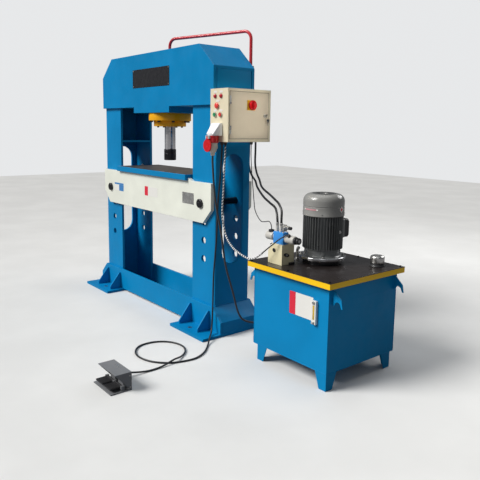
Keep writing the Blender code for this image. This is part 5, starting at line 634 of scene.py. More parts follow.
def frame_looks():
    for node in ("left_column", "right_column"):
        dress(node, BLUE, 0.0015, smooth=40)
    plates = ("beam_front_plate", "beam_rear_plate", "beam_cap", "cylinder_seat")
    for node in plates + ("base_front_rail", "base_rear_rail"):
        dress(node, BLUE, 0.002)
    for node in ("left_foot", "right_foot"):
        dress(node, BLUE, 0.0015)
    for side in (-1, 1):
        tag = "left" if side < 0 else "right"
        for place, x in (("inner", 0.58), ("outer", 0.82)):
            for end in (-1, 1):
                y0 = -0.0212 if end < 0 else 0.3412
                y1 = -0.125 if end < 0 else 0.445
                for edge in (-0.0065, 0.0065):
                    where = side * x + edge
                    weld(f"weld_{tag}_{place}_{end}_{edge > 0}", [
                        (where, y0, 0.163), (where, y0, 0.0205), (where, y1, 0.0205)
                    ], 0.003)
        weld(f"weld_rail_{tag}", [
            (side * 0.955, -0.0215, 0.0205), (side * 0.535, -0.0215, 0.0205)
        ], 0.003)
        weld(f"weld_column_{tag}", [(side * 0.861, 0.005, 0.205), (side * 0.861, 0.315, 0.205)], 0.003)
        weld(f"weld_seat_{tag}", [(side * 0.861, -0.002, 1.664), (side * 0.861, -0.002, 1.912)], 0.0025)
    shape = bmesh.new()
    for side in (-1, 1):
        for y in (-0.11, 0.43):
            lathe(shape, [
                (0.017, 0.0215), (0.017, 0.0203), (0.0115, 0.0203), (0.0115, 0.0215)
            ], (side * 0.7, y, 0), steps=24)
    piece("anchor_rings", shape, ZINC)
    nameplate()


def flat_plate(name, material, xs, zs, y, thick=0.0006, round_by=0.004):
    """A thin bare plate or sticker that faces the operator's side."""
    shape = prism(bmesh.new(), "y", (y - thick, y), rectangle(xs, zs, round_by))
    piece(name, shape, material)


def rivets(name, material, xs, zs, y, profile, steps):
    shape = bmesh.new()
    for x in xs:
        for z in zs:
            lathe(shape, profile, (x, y, z), FORWARD, steps)
    piece(name, shape, material)


def nameplate():
    y = -0.0253
    flat_plate(
        "beam_plate_black", BLACK_AND_SHADE, (-0.288, 0.287), (1.824, 1.972), y, 0.002
    )
    rivets(
        "beam_plate_rivets", ZINC, (-0.276, 0.275), (1.836, 1.96), y - 0.002,
        [(0, 0.0032), (0.003, 0.0028), (0.0045, 0.0), (0, 0)], 16
    )


# Table


def table_looks():
    for node in ("table_front_plate", "table_rear_plate"):
        dress(node, WHITE, 0.0025)
    dress("table_top", TOP_STEEL, 0.0006, sides=BLUE)
    dress("table_ribs", BLUE, 0.001)
    y = -0.0303
    flat_plate("table_sticker_blue", LABEL_BLUE, (-0.645, -0.475), (0.985, 1.0), y)
    flat_plate("table_sticker_left", LABEL, (-0.645, -0.56), (0.93, 0.984), y)
    flat_plate("table_sticker_side", LABEL_BLUE, (-0.559, -0.475), (0.93, 0.984), y)
    flat_plate("table_sticker_red", LABEL_RED, (-0.098, -0.045), (0.935, 1.012), y)
    flat_plate("table_sticker_white", LABEL, (-0.044, 0.108), (0.935, 1.012), y)
    flat_plate("table_plate_metal", ZINC, (0.478, 0.63), (0.935, 1.02), y, 0.0015)
    rivets(
        "table_plate_rivets", BRIGHT, (0.487, 0.621), (0.944, 1.011), y - 0.0015,
        [(0, 0.0028), (0.0026, 0.0022), (0.0036, 0.0), (0, 0)], 14
    )
    head_back = -0.0306
    for side in (-1, 1):
        name = "left" if side < 0 else "right"
        profile = [(0, 0.018)] + soft_corner([
            (0.008, 0.018), (0.009, 0.0165), (0.029, 0.0165), (0.033, 0.014), (0.033, 0.0),
            (0.0265, 0.0), (0.0265, -0.3976), (0.0225, -0.4016), (0.0, -0.4016)
        ], 0.0015)
        piece(
            f"{name}_pin_look", turned(profile, (side * 0.715, head_back, 0.955), FORWARD, 40), DARK,
            f"{name}_pin", 35, node=f"{name}_table_pin"
        )
    x, yy, foot = -0.655, 0.265, 1.1003
    shape = bmesh.new()
    lathe(shape, [
        (0, foot + 0.01), (0.008, foot + 0.01), (0.017, foot + 0.005), (0.017, foot), (0, foot)
    ], (x, yy, 0), steps=28, soft=0.0015)
    ring = [
        (x + 0.02 * math.cos(math.tau * i / 32), yy, foot + 0.034 + 0.02 * math.sin(math.tau * i / 32))
        for i in range(33)
    ]
    tube(shape, ring, 0.006, 12)
    piece("lifting_eye_look", shape, ZINC, smooth=50, node="lifting_eye")


# Cylinder and pipes


def cylinder_looks():
    at = (0, AXIS_Y, 0)
    gland, flange, rod, under = 0.1335, 0.175, 0.045, 1.5563
    shape = turned([
        (0.007, 2.015), (0.028, 2.015), (0.028, 2.0), (0.112, 2.0), (0.12, 1.992), (0.12, 1.6177),
        (flange, 1.6177), (flange, under), (0.1, under), (0.1, 1.955), (0.007, 1.955)
    ], at, steps=72, soft=0.003)
    piece("barrel_look", shape, ORANGE, node="cylinder_barrel")
    shape = turned([
        (0.0455, 1.6), (0.0977, 1.6), (0.0997, 1.598), (0.0997, 1.556), (gland, 1.556), (gland, 1.513),
        (0.1305, 1.51), (0.06, 1.51), (0.058, 1.513), (0.0455, 1.513)
    ], at, steps=72, soft=0.002)
    piece("gland_look", shape, ORANGE, node="cylinder_gland")
    shape = bmesh.new()
    for _, x, y in circle_points((0, AXIS_Y), (gland + flange) / 2, 8):
        hexagon(shape, (x, y, under), DOWNWARD, 0.0125, 0.012, 0.0145)
    screw = [
        (0, 0.009), (0.005, 0.009), (0.005, 0.009), (0.0085, 0.009), (0.009, 0.0082), (0.009, 0), (0, 0)
    ]
    for _, x, y in circle_points((0, AXIS_Y), (rod + gland) / 2 + 0.009, 6, 0):
        lathe(shape, screw, (x, y, 1.51), DOWNWARD, 18)
    piece("cylinder_bolts", shape, DARK)
    repaint("piston", DARK)
    shape = turned([
        (0, 1.7297), (0.03, 1.7297), (0.03, 1.6747), (rod, 1.6747), (rod, 1.3233), (0.03, 1.3233),
        (0.03, 1.2856), (0, 1.2856)
    ], at, steps=72, soft=0.001)
    piece("rod_look", shape, CHROME, "ram", node="ram_rod")
    shape = turned([(0, 1.285), (0.0303, 1.285), (0.0303, 1.323)] + soft_corner([
        (0.046, 1.323), (0.05, 1.319), (0.05, 1.292), (0.0488, 1.291), (0.0488, 1.288), (0.05, 1.287),
        (0.05, 1.235), (0.046, 1.231), (0, 1.231)
    ], 0.001), at, steps=72)
    piece("head_look", shape, DARK, "ram", node="ram_head")


def pipe_looks():
    top = pipe_route([
        (0, AXIS_Y, 2.0153), (0, AXIS_Y, 2.215), (PIPE_X, PIPE_BACK, 2.215), (PIPE_X, PIPE_BACK, 1.46)
    ], 0.06)
    lower = pipe_route([
        (0, 0.2803, 1.72), (0, LOWER_BACK, 1.72), (LOWER_X, LOWER_BACK, 1.72),
        (LOWER_X, LOWER_BACK, 1.46)
    ], 0.024)
    for name, points in (("top_port_pipe", top), ("lower_port_pipe", lower)):
        piece(name + "_look", tube(bmesh.new(), points, 0.012, 24), RED_PIPE, smooth=50, node=name)
    shape = bmesh.new()
    for x, y in ((PIPE_X, PIPE_BACK), (LOWER_X, LOWER_BACK)):
        hexagon(shape, (x, y, 1.4605), UPWARD, 0.0165, 0.022)
        lathe(shape, [
            (0.0122, 0.0), (0.0145, 0.0), (0.0145, 0.012), (0.0122, 0.012)
        ], (x, y, 1.4825), UPWARD, 24, soft=0.001)
    hexagon(shape, (0, AXIS_Y, 2.0956), UPWARD, 0.0185, 0.012)
    piece("pipe_nuts", shape, ZINC)
    shape = bmesh.new()
    for z in (1.56, 1.95):
        block(shape, (0.765, 0.805), (0.3455, 0.387), (z - 0.012, z + 0.012), 0.003)
    piece("pipe_clamps", shape, TERMINAL)


# Control box


def box_looks():
    dress("box_shell", CREAM, 0.0012)
    # the door wears the darkened cream: painted shade
    dress("box_door", CREAM_SHADED, 0.001, "door")
    face = 1.0615
    # dark strips in the gap round the door: painted shadow
    shape = bmesh.new()
    for ys, zs in (
        ((-0.0395, 0.3125), (1.7486, 1.7516)), ((-0.0395, 0.3125), (1.4304, 1.4334)),
        ((-0.0395, -0.0366), (1.4334, 1.7486)), ((0.3096, 0.3125), (1.4334, 1.7486))
    ):
        block(shape, (1.06, 1.0607), ys, zs)
    piece("door_gap_shadow", shape, GAP_SHADE)
    shape = block(
        bmesh.new(), (face + 0.0042, face + 0.0056), (0.1105, 0.1835), (1.6265, 1.6955), 0.0008
    )
    piece("switch_plate_yellow", shape, YELLOW, "door")
    base = face + 0.0058
    middle = (base, 0.147, 1.661)
    shape = bmesh.new()
    lathe(shape, [
        (0, 0.022), (0.031, 0.022), (0.034, 0.019), (0.034, 0.011), (0.032, 0.009), (0.025, 0.007),
        (0.025, 0.0004), (0.0, 0.0004)
    ], middle, RIGHTWARD, 48, soft=0.0015)
    outline = rectangle((0.1365, 0.1575), (1.634, 1.688), 0.0095, 6)
    prism(shape, "x", (base + 0.02, base + 0.034), outline, 0.0022)
    lathe(shape, [(0, -0.0015), (0.006, -0.0015), (0.006, -0.024), (0, -0.024)], middle, RIGHTWARD, 20)
    piece("main_switch_look", shape, RED, "main_switch", 40, node="main_switch_knob")
    # the lock with its two keys on a ring
    shape = bmesh.new()
    lathe(shape, [
        (0, 0.003), (0.004, 0.003), (0.0045, 0.004), (0.011, 0.004), (0.012, 0.003), (0.012, 0.0003),
        (0.009, 0.0003), (0.009, -0.0225), (0, -0.0225)
    ], (face, 0.276, 1.591), RIGHTWARD, 40, soft=0.0006)
    block(shape, (1.039, 1.042), (0.27, 0.282), (1.546, 1.591), 0.0008)
    block(shape, (face + 0.002, face + 0.012), (0.2745, 0.2775), (1.5865, 1.5955), 0.0005)
    block(shape, (face + 0.011, face + 0.028), (0.2748, 0.2772), (1.581, 1.601), 0.0022, 3)
    ring = [
        (face + 0.02 + 0.004 * math.cos(a), 0.276 + 0.013 * math.sin(a), 1.577 + 0.013 * math.cos(a))
        for a in [math.tau * i / 24 for i in range(25)]
    ]
    tube(shape, ring, 0.0009, 6)
    for tilt, y in ((0.16, 0.2835), (0.32, 0.2895)):
        key = prism(
            bmesh.new(), "x", (face + 0.0195, face + 0.0212),
            rectangle((-0.0085, 0.0085), (-0.017, 0.0), 0.005, 4)
        )
        prism(key, "x", (face + 0.0197, face + 0.021), [
            (-0.0026, -0.044), (0.0032, -0.042), (0.0026, -0.036), (0.0034, -0.031), (0.003, -0.017),
            (-0.003, -0.017)
        ])
        add_turned(shape, key, tilt, (0, y, 1.568), "X")
    piece("door_lock_look", shape, BRIGHT, "lock", 40, node="door_lock")
    shape = bmesh.new()
    for z in (1.492, 1.69):
        for low, high in ((-0.027, -0.0095), (-0.0088, 0.0088), (0.0095, 0.027)):
            lathe(shape, [
                (0.0062, high), (0.0068, high), (0.0068, low), (0.0062, low)
            ], (1.0675, -0.036, z), UPWARD, 24, soft=0.0004)
        lathe(shape, [
            (0, 0.0295), (0.004, 0.0295), (0.004, 0.0268), (0, 0.0268)
        ], (1.0675, -0.036, z), UPWARD, 16, soft=0.001)
    piece("hinge_pins", shape, BRIGHT)
    front_devices()
    box_glands()
    gear_looks()


def front_devices():
    y, lamps_z, buttons_z = -0.05, 1.719, 1.594
    for tag, x in (("left", 0.917), ("right", 0.983)):
        shape = turned([
            (0, 0.0136), (0.006, 0.013), (0.011, 0.0105), (0.0135, 0.007), (0.0145, 0.0035),
            (0.0145, 0.0004), (0.0108, 0.0004), (0.0108, -0.014), (0, -0.014)
        ], (x, y, lamps_z), FORWARD, 40)
        piece(f"lamp_{tag}_look", shape, LAMP, smooth=50, node=f"signal_lamp_{tag}")
    bezels = bmesh.new()
    for x, z, inner, outer, height in (
        (0.917, lamps_z, 0.0148, 0.0172, 0.0028), (0.983, lamps_z, 0.0148, 0.0172, 0.0028),
        (0.917, buttons_z, 0.0133, 0.0165, 0.0085), (0.98, buttons_z, 0.0133, 0.0165, 0.0085)
    ):
        lathe(bezels, soft_corner([
            (inner, 0.0), (inner, height), (outer, height), (outer, 0.0), (inner, 0.0)
        ], 0.0008)[:-1], (x, y - 0.0002, z), FORWARD, 40)
    piece("front_bezels", bezels, ZINC, smooth=40)
    shape = turned([
        (0, 0.0165), (0.01, 0.0158), (0.0165, 0.0138), (0.0195, 0.011), (0.02, 0.0095),
        (0.0195, 0.0078), (0.0155, 0.0065), (0.012, 0.0045), (0.0108, 0.0045), (0.0108, -0.014),
        (0, -0.014)
    ], (0.94, y, 1.655), FORWARD, 48)
    piece("estop_look", shape, ESTOP, "estop", 50, node="estop_button")
    for name, body, x, colour, slot in (
        ("start_button", "start", 0.917, GREEN, "signal_green"),
        ("stop_button", "stop", 0.98, ESTOP, "signal_red")
    ):
        shape = turned([(0, 0.0125)] + soft_corner([
            (0.009, 0.0125), (0.0112, 0.0135), (0.0128, 0.0135), (0.013, 0.012), (0.013, 0.0047),
            (0.0108, 0.0045), (0.0108, -0.014), (0, -0.014)
        ], 0.0006), (x, y, buttons_z), FORWARD, 40)
        piece(name + "_look", shape, colour, body, 40, node=name)
    for i, (x, z, width) in enumerate(
        (
            (0.917, 1.748, 0.034), (0.983, 1.748, 0.034), (0.946, 1.687, 0.038), (0.917, 1.622, 0.034),
            (0.983, 1.622, 0.034)
        )
    ):
        flat_plate(
            f"legend_{i}", LABEL, (x - width / 2, x + width / 2), (z - 0.0065, z + 0.0065), y - 0.0001,
            0.001, round_by=0.0015
        )


def box_glands():
    shape = bmesh.new()
    for x, y in (PEDAL_GLAND, CONTROL_GLAND, SOLENOID_GLAND):
        hexagon(shape, (x, y, 1.4095), DOWNWARD, 0.0135, 0.005)
        lathe(shape, [
            (0, 0.0), (0.0118, 0.0), (0.0118, 0.006), (0.0105, 0.0125), (0.0085, 0.018),
            (0.006, 0.0182), (0, 0.0182)
        ], (x, y, 1.4045), DOWNWARD, 32, soft=0.0008)
    piece("box_gland_nuts", shape, TERMINAL, smooth=35)


def gear_looks():
    dress("control_gear", LABEL, 0.0008)
    shape = bmesh.new()
    for i in range(11):
        y = 0.128 + i * 0.0105
        block(shape, (0.926, 0.9285), (y, y + 0.0085), (1.478, 1.512), 0.0006)
    piece("terminal_strips", shape, plastic("terminal_green", (0.12, 0.3, 0.2)))


def socket_looks():
    x, axis = SOCKET_AT
    dress("socket_housing", SOCKET, 0.0025)
    shape = lathe(bmesh.new(), [
        (0.0333, 1.405), (0.0333, 1.4515), (0.0382, 1.4515), (0.0382, 1.441), (0.0375, 1.44),
        (0.0375, 1.434), (0.0382, 1.433), (0.0392, 1.405), (0.0392, 1.4035), (0.0333, 1.4035)
    ], (x, axis, 0), steps=56, soft=0.0006)
    piece("collar_red", shape, RED)
    dress("socket_lid", RED, 0.0012, "lid")
    # plug with a ribbed grip and its cable nut
    profile = [(0, 1.4627), (0.0327, 1.4627), (0.0327, 1.4047)]
    profile += soft_corner([
        (0.034, 1.401), (0.034, 1.393), (0.0328, 1.391), (0.0318, 1.378), (0.0292, 1.358),
        (0.0255, 1.347), (0.02, 1.338), (0.0145, 1.332), (0.0145, 1.329), (0.0158, 1.328),
        (0.015, 1.3195), (0.0105, 1.3152), (0, 1.3152)
    ], 0.0012)
    shape = turned(profile, (x, axis, 0), steps=56)
    half = 0.0014
    for _, rib_x, rib_y in circle_points((x, axis), 0.0322, 14, 0):
        block(shape, (rib_x - half, rib_x + half), (rib_y - half, rib_y + half), (1.364, 1.389), 0.0006)
    return piece("plug_look", shape, PLUG, smooth=40, node="power_plug")


# Power unit


def tank_looks():
    dress("tank_body", BLUE, 0.0012)
    dress("tank_lid", LID, 0.0012, sides=EDGE)
    # thin band of the lid's black along the top of its yellow edge
    shape = bmesh.new()
    x0, x1, y0, y1, top, band_depth = 1.343, 2.056, -0.093, 0.601, 0.657, 0.0004
    for xs, ys in (
        ((x0 - band_depth, x1 + band_depth), (y0 - band_depth, y0)), ((x0 - band_depth, x1 + band_depth), (y1, y1 + band_depth)),
        ((x0 - band_depth, x0), (y0, y1)), ((x1, x1 + band_depth), (y0, y1))
    ):
        block(shape, xs, ys, (top - 0.0034, top))
    piece("lid_edge_black_band", shape, LID)
    for x, y, low in (
        (1.377, -0.059, 0.105), (2.022, -0.059, 0.012), (2.022, 0.567, 0.105), (1.377, 0.567, 0.105)
    ):
        weld(f"weld_tank_{x}_{y}", [(x, y, low), (x, y, 0.642)], 0.0022)
    weld("weld_tank_front", [(1.379, -0.0592, 0.1035), (2.02, -0.0592, 0.1035)], 0.002)
    weld("weld_tank_side", [(2.0222, -0.057, 0.1035), (2.0222, 0.565, 0.1035)], 0.002)
    shape = bmesh.new()
    for x in (1.362, 1.699, 2.037):
        for y in (-0.074, 0.582):
            hexagon(shape, (x, y, 0.6572), UPWARD, 0.0065, 0.005, 0.0085)
    piece("lid_screws", shape, DARK)
    y = -0.0593
    flat_plate("tank_sticker_red", LABEL_RED, (1.706, 1.757), (0.395, 0.535), y)
    flat_plate("tank_sticker_white", LABEL, (1.7575, 1.902), (0.395, 0.535), y)
    gauge()
    filler()


def gauge():
    dress("level_gauge", LABEL, 0.002)
    back = -0.0593 - 0.018
    shape = block(bmesh.new(), (1.9162, 1.9288), (back - 0.0005, back + 0.0055), (0.411, 0.495), 0.002)
    piece("gauge_glass", shape, GLASS)
    shape = bmesh.new()
    for z in (0.394, 0.512):
        hexagon(shape, (1.9225, back - 0.0001, z), FORWARD, 0.0085, 0.006, 0.0105)
    piece("gauge_bolts", shape, ZINC)


def filler():
    on = ON_LID
    at = (1.94, 0.471, 0)
    profile = [(0, on + 0.068)] + soft_corner([
        (0.034, on + 0.068), (0.042, on + 0.064), (0.045, on + 0.057), (0.045, on + 0.024),
        (0.042, on + 0.0215), (0.036, on + 0.021), (0.036, on + 0.0005), (0.026, on + 0.0003),
        (0.026, on - 0.03), (0, on - 0.03)
    ], 0.0015)
    piece("filler_look", turned(profile, at, steps=56), BRIGHT, "filler", 35, node="filler_cap")
    shape = turned([
        (0.0365, on + 0.019), (0.043, on + 0.019), (0.044, on + 0.01), (0.048, on + 0.004),
        (0.048, on + 0.0003), (0.0365, on + 0.0003)
    ], at, steps=56, soft=0.001)
    for _, x, y in circle_points(at, 0.043, 4):
        hexagon(shape, (x, y, on + 0.004), UPWARD, 0.004, 0.004)
    piece("filler_flange", shape, TERMINAL, smooth=40)


def motor_looks():
    at = (MX, MY, 0)
    # flange, bell and core as one casting
    profile = soft_corner([
        (0.0193, 0.965), (0.108, 0.965), (0.108, 0.745), (0.11, 0.738), (0.11, 0.722), (0.114, 0.711),
        (0.122, 0.705), (0.1465, 0.705), (0.15, 0.702), (0.15, 0.688), (0.147, 0.685), (0.04, 0.685),
        (0.04, 0.7043), (0.0193, 0.7043)
    ], 0.002)
    shape = turned(profile, at, steps=72)
    for angle, _, _ in circle_points(at, 0, 44):
        if abs(math.remainder(angle - math.pi / 2, math.tau)) < 0.36:
            continue
        fin = block(bmesh.new(), (0.104, 0.129), (-0.00165, 0.00165), (0.7475, 0.9625))
        for vert in fin.verts:
            if vert.co.x > 0.12:
                vert.co.y *= 0.62
                if vert.co.z < 0.8:
                    vert.co.z += 0.006
        add_turned(shape, fin, angle, at)
    # four pads cast on the bell, over the flange bolts
    for angle, _, _ in circle_points(at, 0, 4):
        pad = block(bmesh.new(), (0.1, 0.1155), (-0.0095, 0.0095), (0.704, 0.742), 0.002)
        add_turned(shape, pad, angle, at)
    half = 0.055
    zs = (0.806, 0.928)
    xs = (MX - half, MX + half)
    prism(shape, "y", (MY + 0.098, MY + 0.1505), rectangle(xs, zs, 0.008, 4), 0.002)
    piece("motor_look", shape, MOTOR, smooth=32, node="motor_frame")
    # adapter ring under the flange, painted black as the shade in the gap beneath the flange
    shape = turned([
        (0.04, 0.6849), (0.125, 0.6849), (0.125, 0.6573), (0.058, 0.6573), (0.058, 0.6203),
        (0.04, 0.6203)
    ], at, steps=64, soft=0.001)
    piece("motor_adapter_shade_black", shape, BLACK_AND_SHADE, smooth=32)
    shape = prism(bmesh.new(), "y", (MY + 0.151, MY + 0.19), rectangle(xs, zs, 0.016, 5), 0.005)
    piece("terminal_lid", shape, TERMINAL, smooth=32)
    shape = bmesh.new()
    for x in (MX - 0.043, MX + 0.043):
        for z in (zs[0] + 0.012, zs[1] - 0.012):
            hexagon(shape, (x, MY + 0.19, z), BACKWARD, 0.005, 0.004)
    lathe(shape, [
        (0, 0), (0.0145, 0), (0.0145, 0.007), (0.012, 0.01), (0.0105, 0.02), (0, 0.02)
    ], (MX - 0.055, MY + 0.161, 0.867), LEFTWARD, 6, soft=0.001)
    for _, x, y in circle_points(at, 0.1345, 4):
        hexagon(shape, (x, y, 0.7052), UPWARD, 0.0085, 0.008, 0.0105)
    piece("motor_bolts", shape, ZINC)
    shape = turned([
        (0.148, 0.7053), (0.1503, 0.703), (0.1512, 0.7012), (0.1512, 0.6882), (0.1503, 0.6868),
        (0.148, 0.6848)
    ], at, steps=80, soft=0.0004)
    piece("flange_rim", shape, CHROME)
    cover_looks()
    repaint("motor_rotor", DARK)
    repaint("pump", ZINC)


def add_turned(shape, extra, angle, at, axis="Z"):
    """Adds a small mesh to a larger one, turned about an axis and carried to its place."""
    bmesh.ops.rotate(extra, cent=(0, 0, 0), matrix=Matrix.Rotation(angle, 3, axis), verts=extra.verts)
    bmesh.ops.translate(extra, vec=at, verts=extra.verts)
    mesh = mesh_of("extra", extra)
    shape.from_mesh(mesh)


def cover_looks():
    foot, wall, crown, outer = 0.9653, 0.0025, 0.085, 0.132
    side_top, dome = foot + 0.089, 0.048
    ring = []
    for a in range(0, 91, 10):
        r = math.radians(a)
        ring.append((crown + (outer - crown) * math.sin(r), side_top + dome * math.cos(r)))
    sides = [
        (outer, foot + 0.062), (outer - 0.0016, foot + 0.06), (outer - 0.0016, foot + 0.056),
        (outer, foot + 0.054), (outer, foot + 0.008), (outer + 0.0012, foot + 0.006),
        (outer + 0.0012, foot)
    ]
    inner = [(outer - wall, foot)]
    for a in range(90, -1, -15):
        r = math.radians(a)
        inner.append(
            (crown + (outer - wall - crown) * math.sin(r), side_top + (dome - wall) * math.cos(r))
        )
    top = side_top + dome
    profile = [(0.0, top - 0.004), (0.02, top - 0.004), (0.022, top)]
    profile += ring + sides + inner + [(0.0, top - 0.004 - wall)]
    shape = turned(profile, (MX, MY, 0), steps=72)
    piece("fan_cover_look", shape, COVER, smooth=38, node="fan_cover")
    # flat black rings on the cover's top: painted shade for the grille's openings
    shape = bmesh.new()
    for radius in (0.036, 0.048, 0.06, 0.072):
        lathe(shape, [
            (radius - 0.0032, top + 0.0002), (radius - 0.0032, top + 0.0006),
            (radius + 0.0032, top + 0.0006), (radius + 0.0032, top + 0.0002)
        ], (MX, MY, 0), steps=56)
    piece("fan_cover_grille_shade", shape, BLACK_AND_SHADE)
    shape = bmesh.new()
    for a, x, y in circle_points((MX, MY), 0.1325, 4, 0.42):
        hexagon(shape, (x, y, foot + 0.016), (math.cos(a), math.sin(a), 0), 0.004, 0.003)
    piece("fan_cover_screws", shape, ZINC)
    curved_label("motor_strip_left", LABEL, 250, 254.4, 1.0035, 1.0125)
    curved_label("motor_strip_pink", LABEL_PINK, 254.5, 292.5, 1.0038, 1.0116)
    curved_label("motor_strip_right", LABEL, 292.6, 297.5, 1.0035, 1.0125)
    a = math.radians(9)
    spot = Vector((MX + 0.1325 * math.cos(a), MY + 0.1325 * math.sin(a), 1.01))
    out = Vector((math.cos(a), math.sin(a), 0))
    for name, material, half, lift in (
        ("motor_diamond", LABEL, 0.022, 0.0), ("motor_diamond_centre", LABEL_RED, 0.011, 0.0009)
    ):
        piece(
            name,
            turned([(0, 0.0), (half, 0.0), (half, 0.0008), (0, 0.0008)], spot + out * lift, out, 4),
            material, smooth=10
        )
    shape = turned([
        (0, -0.012), (0.01, -0.012), (0.01, 0.0), (0.006, 0.0), (0.006, 0.005), (0, 0.005)
    ], (MX + 0.129 * math.cos(a), MY + 0.129 * math.sin(a), 0.866), out, 24, soft=0.0008)
    piece("motor_boss", shape, ZINC)


def curved_label(name, material, start, end, low, high):
    """A thin plate bent round the fan cover, from one angle to another in degrees."""
    shape = bmesh.new()
    radius, steps = 0.1322, 12
    rings = []
    for i in range(steps + 1):
        a = math.radians(start + (end - start) * i / steps)
        rings.append([
            shape.verts.new((MX + r * math.cos(a), MY + r * math.sin(a), z))
            for r, z in ((radius, low), (radius + 0.0008, low), (radius + 0.0008, high), (radius, high))
        ])
    skin(shape, rings)
    piece(name, shape, material, smooth=40)


def manifold_looks():
    dress("manifold_block", MANIFOLD, 0.0015)
    on = ON_LID
    # screw plug in the front port, oval cover with its screw over the side port; a black block at the
    # foot of the side face is painted shadow
    shape = turned([
        (0, 0.001), (0.0045, 0.001), (0.005, 0.004), (0.0115, 0.004), (0.013, 0.003), (0.013, 0.0),
        (0, 0.0)
    ], (1.514, -0.0202, on + 0.0884), FORWARD, 32, soft=0.0006)
    prism(shape, "x", (1.5852, 1.5882), [
        (
            0.0192 + 0.023 * math.cos(a) - 0.004 * math.sin(a),
            on + 0.0624 + 0.0125 * math.sin(a) - 0.004 * math.cos(a)
        )
        for a in [math.tau * k / 32 for k in range(32)]
    ], 0.0008)
    # black block at the foot of the side face: painted shadow
    block(shape, (1.5853, 1.6), (0.038, 0.08), (on, on + 0.014), 0.003)
    piece("manifold_plugs_and_shadow", shape, BLACK_AND_SHADE, smooth=40)
    shape = turned([
        (0, 0.0), (0.0065, 0.0), (0.0065, 0.003), (0.003, 0.003), (0.003, 0.0015), (0, 0.0015)
    ], (1.5883, 0.0192, on + 0.0624), RIGHTWARD, 24, soft=0.0004)
    piece("manifold_screw", shape, ZINC)
    # fitting in the sloping shoulder
    shape = bmesh.new()
    hexagon(shape, (1.476, 0.002, on + 0.105), (-0.81, 0, 0.59), 0.0105, 0.012)
    lathe(
        shape, [(0, 0), (0.0075, 0), (0.0075, 0.012), (0.0055, 0.014), (0, 0.014)],
        Vector((1.476, 0.002, on + 0.105)) + Vector((-0.81, 0, 0.59)) * 0.012, (-0.55, 0, 0.83), 24,
        soft=0.001
    )
    piece("shoulder_fitting", shape, BRIGHT, smooth=35)


